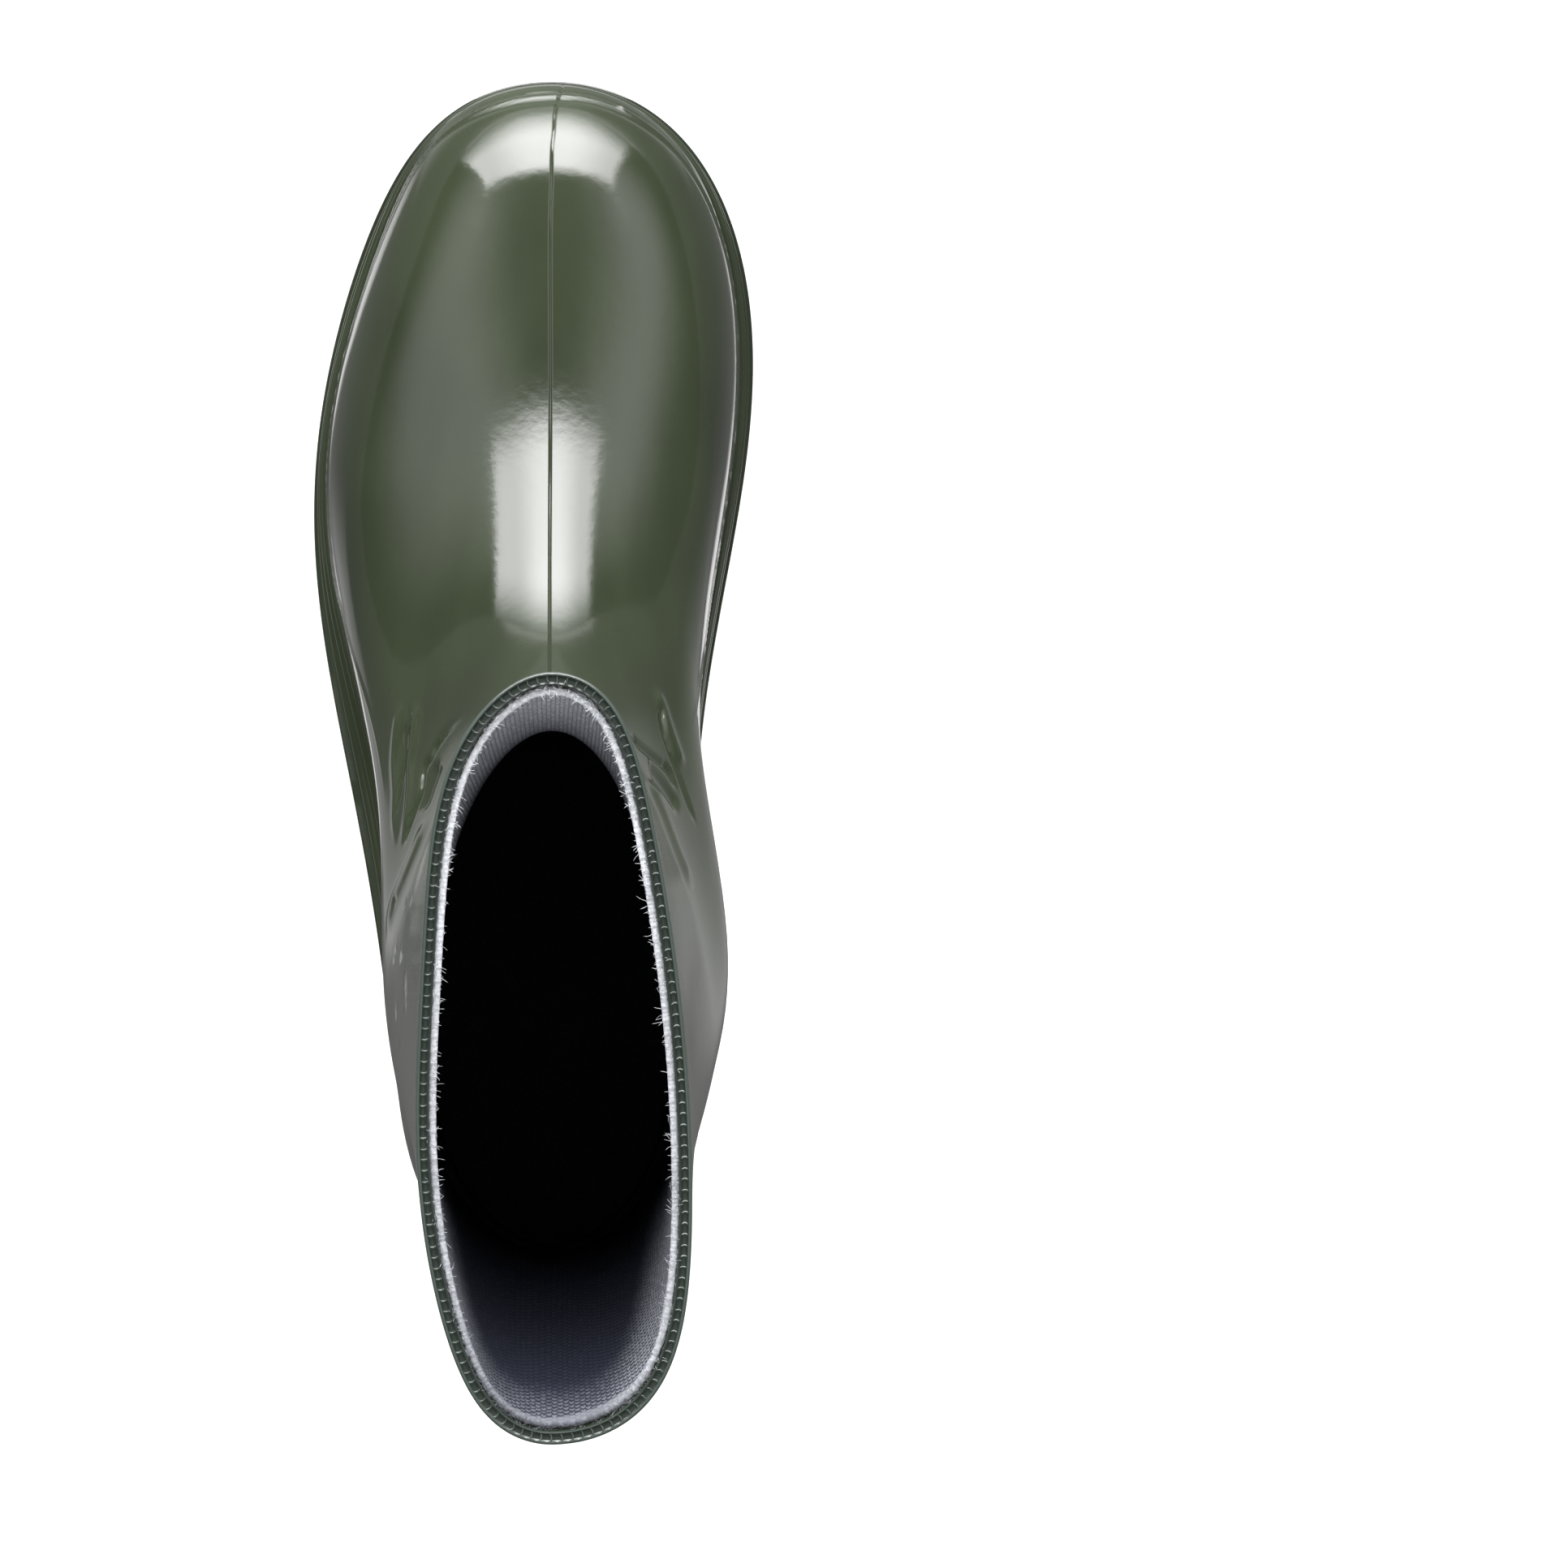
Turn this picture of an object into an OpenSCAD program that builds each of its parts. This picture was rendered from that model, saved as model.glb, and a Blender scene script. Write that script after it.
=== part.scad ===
// Pull-on rain boot for the left foot, moulded in glossy PVC round a knitted sock.
// Millimetres. The toe points along +Y, the inner (medial) side is +X, and the boot stands on Z = 0.
// The origin lies on the ground at the centre of the boot's bounding box.

/* [Overall size] */
// Length of the outsole, heel to toe
foot_length = 280; // [230:1:336]
// Width of the outsole across the ball of the foot
ball_width = 104; // [86:1:125]
// Height of the rim above the ground
boot_height = 260; // [215:1:320]

/* [Upper and lining] */
// Thickness of the moulded upper
upper_wall = 2.4; // [1.6:0.1:3.4]
// Thickness of the upper under the foot
upper_floor = 3; // [2:0.1:4]
// Thickness of the knitted lining
lining_wall = 1.4; // [0.8:0.1:2.2]
// How far the lining stops below the rim
lining_drop = 1.2; // [0.4:0.1:3]
// Thickness of the cord of stitches that joins the lining's tube to its bottom
seam_size = 1.6; // [1:0.1:2.2]

/* [Sole] */
// Thickness of the sole under the ball of the foot, cleats included
sole_thickness = 14; // [11:0.5:18]
// Extra height of the sole under the heel
heel_lift = 13; // [8:0.5:17]
// Rise of the sole towards the toe
toe_spring = 8; // [4:0.5:11]
// Width of the ledge that the sole leaves outside the welt
sole_ledge = 2.2; // [1:0.1:3.5]
// Height of the welt above the sole
welt_height = 6; // [4:0.5:9]
// Thickness of the welt's top edge
welt_edge = 1.2; // [0.6:0.1:2]
// Depth of the tread
cleat_depth = 4.5; // [3:0.5:6]
// Width of the channels between the cleats
channel_width = 5; // [3:0.5:7]
// Distance from one channel to the next along the sole
channel_pitch = 15; // [12:0.5:18]
// Length of the heel block
heel_length = 82; // [68:1:98]
// Length of the raised arch between the heel block and the forefoot's tread
arch_length = 30; // [24:1:36]
// Clear height of the arch above the ground
arch_height = 8; // [6:0.5:9.5]

/* [Inner pieces] */
// Thickness of the lasting board
board_thickness = 1.8; // [1:0.1:2.6]
// Width of the arch stiffener
shank_width = 16; // [12:1:20]
// Length of the arch stiffener
shank_length = 84; // [70:1:101]
// Thickness of the arch stiffener
shank_thickness = 1.6; // [1:0.1:2]
// Diameter of the filler cores in the heel
core_diameter = 14; // [10:0.5:17]
// Height of the filler cores
core_height = 14; // [10:0.5:17]
// Thickness of the heel's wall beside the filler cores
core_wall = 6; // [4:0.5:7]
// Clearance round each filler core and round the arch stiffener
core_clearance = 0.2; // [0.1:0.1:0.4]
// Thickness of the loose footbed's foam
foam_thickness = 4; // [2:0.5:6]
// Thickness of the footbed's cover
cover_thickness = 0.8; // [0.5:0.1:1.5]
// Gap between the footbed and the lining
footbed_gap = 1; // [0.5:0.1:2]

/* [Hidden] */

boot_green = [0.20, 0.26, 0.17];
sole_green = [0.16, 0.21, 0.14];
knit_grey = [0.78, 0.78, 0.79];
foam_grey = [0.35, 0.36, 0.38];
board_tan = [0.68, 0.58, 0.44];
core_black = [0.12, 0.12, 0.13];
cover_black = [0.16, 0.17, 0.19];

// ---- The last: the shape that every soft piece is moulded round ----
// It is drawn at the pattern size and graded to the driving sizes.
pattern_length = 280;
pattern_ball = 104.7;
length_grade = foot_length / pattern_length;
width_grade = ball_width / pattern_ball;

// Shares of a girth line's length at which its half-widths are given, heel to toe
STATIONS = [0.04, 0.2, 0.4, 0.6, 0.8, 0.96];
// Half-widths of the sole at the stations, lateral side and medial side
SOLE_LATERAL = [23.5, 38, 47.2, 56.4, 50.5, 28.5];
SOLE_MEDIAL = [23.5, 36, 34.5, 42.6, 47.6, 29];
// Girth lines from the feather edge to the rim. Each has its back point, as [along, height above the
// feather edge], its front point in the same form, and its lateral and medial half-widths.
GIRTHS = [
    [[3.5, 0], [275.5, 0], [21, 34, 38.7, 51.3, 46.5, 27], [21, 33.5, 31, 38, 43, 27]],
    [[0.5, 14], [278, 13], [21.5, 35, 39.2, 52.3, 47.2, 27.5], [21.5, 34.5, 31.8, 39, 44, 27.5]],
    [[0, 28], [274, 27], [21.5, 35.2, 39, 50, 44, 24.5], [21.5, 35, 32.5, 37.5, 40.5, 24.5]],
    [[1.5, 41], [258, 37], [21.5, 35, 38.2, 45.5, 38, 18.8], [21.5, 35.2, 33.5, 34.5, 33.8, 18.8]],
    [[4, 54], [232, 42], [21.5, 35, 37.8, 40, 31.5, 14.8], [21.5, 34.5, 35, 31.8, 27.2, 14.2]],
    [[7, 67], [200, 49], [20, 34, 37.8, 36, 27, 12], [20, 33, 38, 32.5, 23.8, 11]],
    [[9.5, 79], [169, 60.5], [18, 32, 37.3, 34, 24.4, 10.8], [17.5, 31, 39.2, 33.5, 22.4, 10]],
    [[11, 92], [146, 76], [16.5, 29.5, 35.4, 33, 24, 11], [16.5, 29, 37.2, 33, 22.5, 10.5]],
    [[11, 106], [133, 95], [15.5, 28, 33.6, 32, 23.5, 11], [16, 28.8, 35, 31.5, 22.5, 10.8]],
    [[9.5, 123], [129, 116], [15, 26.8, 32, 30.3, 23, 11], [15.5, 27.5, 32.8, 30, 22, 10.8]],
    [[6, 151], [129.5, 150], [14.5, 25, 29.5, 28, 22.5, 11], [15, 26, 30, 27.5, 21, 10.8]],
    [[0.5, 188], [132, 191], [14, 23.5, 27, 26, 22, 11.2], [14.7, 25, 27.5, 25, 20, 10.8]],
    [[-5, 233], [135, 238], [12.2, 21.5, 24.8, 24, 21.7, 11.5], [15.6, 24.9, 25.4, 23.2, 18.7, 10.9]]
];
top_girth = len(GIRTHS) - 1;
// The girth above which a change of boot_height stretches the shaft
ankle_girth = 8;
// The girth at which the feather edge's own curve has faded out
level_girth = 3;

// Points round a girth, rows up the wall, and points round the sole's outline
around = 48;
rise = 40;
sole_around = 120;
// How far a cut or a blank runs past the face that it meets
past = 1;

// Heights above the feather edge at which the layers under the foot lie
board_bottom = upper_floor;
lining_floor = board_bottom + board_thickness;
footbed_bottom = lining_floor + lining_wall;
seam_top = footbed_bottom + seam_size;

// ---- Heights along the sole ----
function smooth_step(a, b, v) = let (u = min(1, max(0, (v - a) / (b - a)))) u * u * (3 - 2 * u);
// The rows of filler cores, as shares of the heel block, stand on its level part
CORE_ROWS = [0.28, 0.62];
// Where the heel's height starts to fall and where it has fallen, and where the toe starts to rise
ramp_start = CORE_ROWS[1] * heel_length + core_diameter / 2 + 2 * past;
ramp_end = 165 * length_grade;
spring_start = 200 * length_grade;
function spring_at(y) = pow(max(0, (y - spring_start) / (foot_length - spring_start)), 2) * toe_spring;
function sole_top(y) =
    sole_thickness + heel_lift * (1 - smooth_step(ramp_start, ramp_end, y)) + spring_at(y);

// ---- Curves ----
// Uniform cubic B-spline through a list of numbers or vectors, which starts and ends on its end points
function spline_knot(rows, i) =
    i < 0 ? 2 * rows[0] - rows[1] :
    i >= len(rows) ? 2 * rows[len(rows) - 1] - rows[len(rows) - 2] : rows[i];
function spline(rows, s) =
    let (i = min(len(rows) - 2, floor(s)), u = s - i)
    (pow(1 - u, 3) * spline_knot(rows, i - 1) + (3 * pow(u, 3) - 6 * u * u + 4) * spline_knot(rows, i)
        + (-3 * pow(u, 3) + 3 * u * u + 3 * u + 1) * spline_knot(rows, i + 1)
        + pow(u, 3) * spline_knot(rows, i + 2)) / 6;
// One term of the polynomial through the stations
function station_term(t, k, j = 0) =
    j == len(STATIONS) ? 1 :
    (j == k ? 1 : (t - STATIONS[j]) / (STATIONS[k] - STATIONS[j])) * station_term(t, k, j + 1);
function dot(a, b) = a * b;
// Fullness of an outline at share t: its half-width over that of an ellipse
function fullness(t, widths) = dot(
    [for (k = [0:len(STATIONS) - 1]) station_term(t, k)],
    [for (k = [0:len(STATIONS) - 1]) widths[k] / (2 * sqrt(STATIONS[k] * (1 - STATIONS[k])))]
);
// Share of the length at a turn round an outline: 0 is the heel, 180 the toe, medial side first
function share(turn) = (1 - cos(turn)) / 2;
function outline_x(turn, lateral, medial) =
    width_grade * sin(turn) * fullness(share(turn), turn < 180 ? medial : lateral);

// ---- The last's surface ----
BACKS = [for (g = GIRTHS) g[0]];
FRONTS = [for (g = GIRTHS) g[1]];
LATERALS = [for (g = GIRTHS) g[2]];
MEDIALS = [for (g = GIRTHS) g[3]];
function stretch_share(s) = max(0, (s - ankle_girth) / (top_girth - ankle_girth));
function end_height(ends, s, feather) =
    let (h = spline(ends, s)[1])
    feather + h + stretch_share(s) * (boot_height - feather - ends[top_girth][1]);
function girth_point(s, turn) =
    let (
        t = share(turn),
        back_y = spline(BACKS, s)[0] * length_grade,
        front_y = spline(FRONTS, s)[0] * length_grade,
        y = back_y + t * (front_y - back_y),
        back_z = end_height(BACKS, s, sole_top(0)),
        front_z = end_height(FRONTS, s, sole_top(foot_length)),
        straight = sole_top(0) + t * (sole_top(foot_length) - sole_top(0)),
        fade = 1 - smooth_step(0, level_girth, s)
    )
    [
        outline_x(turn, spline(LATERALS, s), spline(MEDIALS, s)),
        y,
        back_z + t * (front_z - back_z) + fade * (sole_top(y) - straight)
    ];
function unit(v) = v / norm(v);
// A point of the last moved inwards by depth, square to its surface
nudge = 0.05;
function inner_point(s, turn, depth) =
    let (
        up = girth_point(min(top_girth, s + nudge), turn) - girth_point(max(0, s - nudge), turn),
        along = girth_point(s, turn + 1) - girth_point(s, turn - 1)
    )
    girth_point(s, turn) - depth * unit(cross(along, up));
// The same, moved level, for the rim and for the layers under the foot
function level_point(s, turn, depth) =
    let (along = girth_point(s, turn + 1) - girth_point(s, turn - 1))
    girth_point(s, turn) - depth * unit([along[1], -along[0], 0]);
// Girth at which the last's side is a given height above the feather edge
function girth_at(height) = height / GIRTHS[1][0][1];
// Girth at the lining's top edge, from the height that a girth gains at the rim
rim_pace = BACKS[top_girth][1] - BACKS[top_girth - 1][1]
    + (boot_height - sole_top(0) - BACKS[top_girth][1]) / (top_girth - ankle_girth);
lining_top = top_girth - lining_drop / rim_pace;

TURNS = [for (k = [0:around - 1]) 360 * k / around];
function steps(a, b, n) = [for (k = [0:n]) a + (b - a) * k / n];

// ---- Meshes from rings of points ----
// Faces between two rings. Where the second ring is the lower one, the quads are split along their other
// diagonal, so that two skins that lie on each other have the same facets.
function ring_join(a, b, n, falling = false) = [for (k = [0:n - 1]) let (m = (k + 1) % n)
    each falling ? [[a + k, b + k, a + m], [b + k, b + m, a + m]] :
        [[a + k, b + k, b + m], [a + k, b + m, a + m]]];
// Strips across a ring of points, which join its two sides at equal distances along the boot
function ladder(a, n, up) = [for (k = [0:n / 2 - 1]) let (
        p = a + k, q = a + k + 1, r = a + (n - k) % n, s = a + n - k - 1)
    each (k == 0 ? [up ? [p, s, q] : [p, q, s]] :
        k == n / 2 - 1 ? [up ? [p, r, q] : [p, q, r]] :
        (up ? [[p, r, s], [p, s, q]] : [[p, s, r], [p, q, s]]))];
// Closed solid through rings that run from the bottom up, with a cap of strips at each end
module stack(rings) {
    n = len(rings[0]);
    top = (len(rings) - 1) * n;
    polyhedron(
        [for (r = rings) each r],
        [
            each [for (i = [0:len(rings) - 2]) each ring_join(i * n, (i + 1) * n, n)],
            each ladder(0, n, false),
            each ladder(top, n, true)
        ]
    );
}
// Closed tube through rings whose last one joins the first. From one ring on, they run downwards.
module hoop(rings, top_ring) {
    n = len(rings[0]);
    polyhedron(
        [for (r = rings) each r],
        [for (i = [0:len(rings) - 1]) each ring_join(i * n, ((i + 1) % len(rings)) * n, n, i >= top_ring)]
    );
}
function last_ring(s, depth) = [for (a = TURNS) depth == 0 ? girth_point(s, a) : inner_point(s, a, depth)];
function level_ring(s, depth) = [for (a = TURNS) level_point(s, a, depth)];
// A layer's outline at a height above the feather edge
function floor_ring(height, depth) = [for (p = level_ring(girth_at(height), depth))
    [p[0], p[1], bed_height(p[1]) + height]];
// Rings of a skin inside the last: those among the layers under the foot, then those up the wall
WALL_ROWS = steps(1, lining_top, rise);
function skin(depth, floor_heights) = [
    for (h = floor_heights) floor_ring(h, depth),
    for (k = [0:rise - 1]) last_ring(WALL_ROWS[k], depth),
    level_ring(lining_top, depth)
];

// ---- The frame: the origin moves to the ground at the centre of the bounding box ----
sole_xs = [for (a = TURNS) outline_x(a, SOLE_LATERAL, SOLE_MEDIAL)];
centre_x = (min(sole_xs) + max(sole_xs)) / 2;
centre_y = (foot_length + GIRTHS[top_girth][0][0] * length_grade) / 2;
module boot_frame() {
    translate([-centre_x, -centre_y, 0]) children();
}

// ---- Sole ----
function sole_point(turn, inset) =
    let (
        here = [outline_x(turn, SOLE_LATERAL, SOLE_MEDIAL), share(turn) * foot_length],
        along = [
            outline_x(turn + 1, SOLE_LATERAL, SOLE_MEDIAL) - outline_x(turn - 1, SOLE_LATERAL, SOLE_MEDIAL),
            (share(turn + 1) - share(turn - 1)) * foot_length
        ]
    )
    here - inset * unit([along[1], -along[0]]);
SOLE_OUTLINE = [for (k = [0:sole_around - 1]) sole_point(360 * k / sole_around, 0)];
tread_start = heel_length + arch_length;
// How far the heel's breast and the forefoot's back edge slope
breast_slope = 2;
tread_slope = 6;

// Side view of the bed that the upper lies on, heel to toe, as [along, height]. It is straight between the
// girth's own points, so that the pieces on both sides of it meet face to face.
BED_SIDE = concat(
    [[-past, sole_top(0)]],
    [for (k = [0:around / 2]) let (y = girth_point(0, 360 * k / around)[1]) [y, sole_top(y)]],
    [[foot_length + past, sole_top(foot_length)]]
);
function bed_height(y) = lookup(y, BED_SIDE);
toe_facets = 6;
SOLE_SIDE = concat(
    BED_SIDE,
    [for (k = [toe_facets:-1:0])
        let (y = spring_start + (foot_length + past - spring_start) * k / toe_facets) [y, spring_at(y)]],
    [[tread_start, 0], [tread_start - tread_slope, arch_height]],
    [[heel_length + breast_slope, arch_height], [heel_length, 0], [-past, 0]]
);
// A side view [along, height] made solid across the whole width
module across(side) {
    rotate([90, 0, 90]) linear_extrude(height = 3 * ball_width, center = true) polygon(side);
}
// Channels that cross the sole and leave the cleats between them
FOREFOOT_CHANNELS = [for (y = [tread_start + channel_pitch:channel_pitch:foot_length - channel_pitch]) y];
HEEL_CHANNELS = [for (y = [channel_pitch:channel_pitch:heel_length - channel_pitch / 2]) y];
// Width of the rib that runs whole along the middle of the tread
centre_rib = 12;
module channels() {
    reach = 2 * cleat_depth;
    for (y = concat(HEEL_CHANNELS, FOREFOOT_CHANNELS)) for (side = [-1, 1])
        translate([side * (ball_width + centre_rib) / 2, y, spring_at(y)])
            cube([ball_width, channel_width, reach], center = true);
    // two long channels split each row of cleats
    for (side = [-1, 1])
        translate([side * ball_width / 4, (tread_start + spring_start) / 2, 0])
            cube([channel_width, spring_start - tread_start, reach], center = true);
}

// ---- Heel cores and shank ----
core_floor = sole_thickness + heel_lift - core_height;
// Half-width of the sole at a distance from the heel, medial side for 1 and lateral side for -1
function sole_half(y, side) =
    side * outline_x(180 - side * (180 - acos(1 - 2 * y / foot_length)), SOLE_LATERAL, SOLE_MEDIAL);
module at_cores() {
    for (row = CORE_ROWS) for (side = [-1, 1])
        let (y = row * heel_length)
        translate([side * (sole_half(y, side) - core_wall - core_diameter / 2), y, core_floor]) children();
}
// The shank spans the arch
shank_y = heel_length + (arch_length - shank_length) / 2;
// Side view of a band that follows the bed, between two heights above it
function band_side(low, high) = concat(
    [for (p = BED_SIDE) p + [0, low]],
    [for (k = [len(BED_SIDE) - 1:-1:0]) BED_SIDE[k] + [0, high]]
);
module shank_plan(grow) {
    end_radius = shank_width / 2;
    for (y = [shank_y + end_radius, shank_y + shank_length - end_radius])
        translate([0, y]) circle(r = end_radius + grow, $fn = 48);
    translate([-end_radius - grow, shank_y + end_radius])
        square([shank_width + 2 * grow, shank_length - shank_width]);
}
module shank_bar(grow, rise_above) {
    intersection() {
        linear_extrude(height = boot_height) shank_plan(grow);
        across(band_side(-shank_thickness - grow, rise_above));
    }
}

// ---- Nodes ----
module upper_shell() {
    color(boot_green) boot_frame() {
        outer = [last_ring(0, 0), for (s = steps(girth_at(welt_height), top_girth, rise)) last_ring(s, 0)];
        inner = skin(upper_wall, [board_bottom, lining_floor, footbed_bottom, seam_top]);
        cup(outer, concat(inner, [level_ring(top_girth, upper_wall)]));
    }
}
// Cup with an outer and an inner skin, closed under the foot and open at the rim
module cup(outer, inner) {
    n = around;
    shift = len(outer) * n;
    outer_top = shift - n;
    inner_top = shift + (len(inner) - 1) * n;
    polyhedron(
        [each [for (r = outer) each r], each [for (r = inner) each r]],
        [
            each [for (i = [0:len(outer) - 2]) each ring_join(i * n, (i + 1) * n, n)],
            each [for (i = [0:len(inner) - 2]) each ring_join(shift + (i + 1) * n, shift + i * n, n, true)],
            each ring_join(outer_top, inner_top, n),
            each ladder(0, n, false),
            each ladder(shift, n, true)
        ]
    );
}
// Share of the way from the welt's foot to its top edge at which its outer face turns, and the height
// by which it turns outside the straight line between them, as a share of the welt's height
welt_turn = 0.4;
welt_belly = 0.25;
module welt_band() {
    top = girth_at(welt_height);
    foot_out = [for (turn = TURNS) let (p = sole_point(turn, sole_ledge)) [p[0], p[1], bed_height(p[1])]];
    edge_out = last_ring(top, -welt_edge);
    turn_out = [for (k = [0:around - 1])
        foot_out[k] * (1 - welt_turn) + edge_out[k] * welt_turn + [0, 0, welt_belly * welt_height]];
    color(boot_green) boot_frame() hoop([last_ring(0, 0), foot_out, turn_out, edge_out, last_ring(top, 0)], 4);
}
module outsole() {
    color(sole_green) boot_frame() difference() {
        intersection() {
            linear_extrude(height = boot_height) polygon(SOLE_OUTLINE);
            across(SOLE_SIDE);
        }
        channels();
        at_cores() cylinder(d = core_diameter + 2 * core_clearance, h = core_height + past, $fn = 48);
        shank_bar(core_clearance, past);
    }
}
module heel_cores() {
    color(core_black) boot_frame() at_cores()
        cylinder(d = core_diameter, h = core_height - core_clearance, $fn = 48);
}
module arch_shank() {
    color("silver") boot_frame() shank_bar(0, 0);
}
// Layer that lies on the sole, from one height above the feather edge, inset from the last's side
module slab(from_height, thickness, inset) {
    stack([floor_ring(from_height, inset), floor_ring(from_height + thickness, inset)]);
}
module lasting_board() {
    color(board_tan) boot_frame() slab(board_bottom, board_thickness, upper_wall);
}
module lining_tube() {
    outer = skin(upper_wall, [footbed_bottom, seam_top]);
    inner = skin(upper_wall + lining_wall, [footbed_bottom, seam_top]);
    color(knit_grey) boot_frame()
        hoop(concat(outer, [for (k = [len(inner) - 1:-1:0]) inner[k]]), len(outer));
}
module lining_bottom() {
    color(knit_grey) boot_frame() slab(lining_floor, lining_wall, upper_wall);
}
// The stitches that join the lining's tube to its bottom, as one raised cord in the corner
module lining_seam() {
    inset = upper_wall + lining_wall;
    color(knit_grey) boot_frame() hoop([
        floor_ring(footbed_bottom, inset + seam_size),
        floor_ring(footbed_bottom, inset),
        floor_ring(seam_top, inset)
    ], 2);
}
footbed_inset = upper_wall + lining_wall + seam_size + footbed_gap;
module footbed_foam() {
    color(foam_grey) boot_frame() slab(footbed_bottom, foam_thickness, footbed_inset);
}
module footbed_cover() {
    color(cover_black) boot_frame() slab(footbed_bottom + foam_thickness, cover_thickness, footbed_inset);
}

upper_shell();
welt_band();
outsole();
heel_cores();
arch_shank();
lasting_board();
lining_tube();
lining_bottom();
lining_seam();
footbed_foam();
footbed_cover();
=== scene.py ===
"""Rain boot for a left foot: moulded upper with a lined shaft, welt, cleated sole and loose footbed."""

import logging
import math
from collections.abc import Mapping, Sequence
from dataclasses import dataclass, field
from enum import Enum

import bmesh
import bpy
import numpy as np
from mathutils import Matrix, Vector


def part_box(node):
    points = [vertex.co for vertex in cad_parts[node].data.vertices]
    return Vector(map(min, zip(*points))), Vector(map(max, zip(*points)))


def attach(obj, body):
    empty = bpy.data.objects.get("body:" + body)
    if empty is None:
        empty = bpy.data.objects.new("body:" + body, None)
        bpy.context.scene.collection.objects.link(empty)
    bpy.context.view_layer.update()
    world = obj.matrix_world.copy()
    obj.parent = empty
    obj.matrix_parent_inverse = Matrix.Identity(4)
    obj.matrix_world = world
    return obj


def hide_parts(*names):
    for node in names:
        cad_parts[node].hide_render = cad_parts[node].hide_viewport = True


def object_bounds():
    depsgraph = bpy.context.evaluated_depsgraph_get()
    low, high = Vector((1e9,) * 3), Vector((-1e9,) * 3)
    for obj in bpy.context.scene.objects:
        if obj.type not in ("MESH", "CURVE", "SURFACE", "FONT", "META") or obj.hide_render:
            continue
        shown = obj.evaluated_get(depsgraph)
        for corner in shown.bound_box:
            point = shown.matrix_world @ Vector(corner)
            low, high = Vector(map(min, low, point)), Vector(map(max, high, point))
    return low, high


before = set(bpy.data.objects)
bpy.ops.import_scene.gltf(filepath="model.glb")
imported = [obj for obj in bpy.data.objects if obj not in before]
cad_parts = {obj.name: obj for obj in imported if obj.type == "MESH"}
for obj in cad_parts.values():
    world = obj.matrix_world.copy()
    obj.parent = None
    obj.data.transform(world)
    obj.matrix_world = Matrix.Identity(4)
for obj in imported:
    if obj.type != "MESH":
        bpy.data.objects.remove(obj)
CAD_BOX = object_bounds()

Array = np.ndarray
LOG = logging.getLogger("rain_boot")
MM = 0.001
# Points closer than this are one point
CLOSE = 2e-6
IN_DEGREES = 180 / math.pi
BODY = "root"


# ---- Curves and surfaces ----
def catmull_weights(u: Array) -> Array:
    """Gives the weights of four neighbours at a share of the way between the middle two.

    Args:
        u: Shares from 0 to 1.

    Returns:
        The weights, with four in the last axis.
    """
    return 0.5 * np.stack(
        [-u + 2 * u**2 - u**3, 2 - 5 * u**2 + 3 * u**3, u + 4 * u**2 - 3 * u**3, u**3 - u**2], -1
    )


def smooth_loop(knots: Array, place: Array) -> Array:
    """Follows a smooth closed curve through evenly numbered knots.

    Args:
        knots: The curve's knots, one in each row.
        place: Places along it, where a knot's place is its number.

    Returns:
        A point for each place.
    """
    count = len(knots)
    cell = np.floor(place).astype(int)
    weights = catmull_weights(place - cell)
    near = np.stack([knots[(cell + k) % count] for k in (-1, 0, 1, 2)], 1)
    return np.einsum("ik,ikj->ij", weights, near)


def smooth_path(knots: Array, steps: int) -> Array:
    """Follows a smooth open curve through its knots.

    Args:
        knots: The knots, one in each row.
        steps: How many points to give for each stretch between knots.

    Returns:
        Points along the curve, with both ends.
    """
    ends = np.vstack([2 * knots[0] - knots[1], knots, 2 * knots[-1] - knots[-2]])
    place = np.linspace(0, len(knots) - 1, (len(knots) - 1) * steps + 1)
    cell = np.minimum(np.floor(place).astype(int), len(knots) - 2)
    weights = catmull_weights(place - cell)
    near = np.stack([ends[cell + k] for k in range(4)], 1)
    return np.einsum("ik,ikj->ij", weights, near)


def smooth_step(low: float, high: float, value: Array | float) -> Array:
    """Rises smoothly from 0 at low to 1 at high."""
    u = np.clip((np.asarray(value, float) - low) / (high - low), 0, 1)
    return u * u * (3 - 2 * u)


def full_circle(count: int) -> Array:
    """Gives evenly spaced turns, from 0 up to 360 degrees."""
    return 360 * np.arange(count) / count


def unit(vectors: Array) -> Array:
    """Scales vectors to a length of 1."""
    return vectors / np.maximum(np.linalg.norm(vectors, axis=-1, keepdims=True), 1e-12)


def merged_copy(node: bpy.types.Object) -> bmesh.types.BMesh:
    """Copies a CAD node's triangles and joins them where they meet.

    Args:
        node: The CAD node, which stays as it is.

    Returns:
        The copy.
    """
    copy = bmesh.new()
    copy.from_mesh(node.data)
    bmesh.ops.remove_doubles(copy, verts=copy.verts[:], dist=CLOSE)
    return copy


def slice_mesh(mesh: bmesh.types.BMesh, place: Sequence[float], square: Sequence[float],
               close: float = CLOSE) -> list[bmesh.types.BMVert | bmesh.types.BMEdge]:
    """Cuts every face that crosses a plane.

    Args:
        mesh: The mesh to cut.
        place: A point on the plane.
        square: The direction square to the plane.
        close: How near a point counts as on the plane.

    Returns:
        The points and edges on the cut.
    """
    whole = mesh.verts[:] + mesh.edges[:] + mesh.faces[:]
    return bmesh.ops.bisect_plane(mesh, geom=whole, dist=close, plane_co=place, plane_no=square)["geom_cut"]


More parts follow.
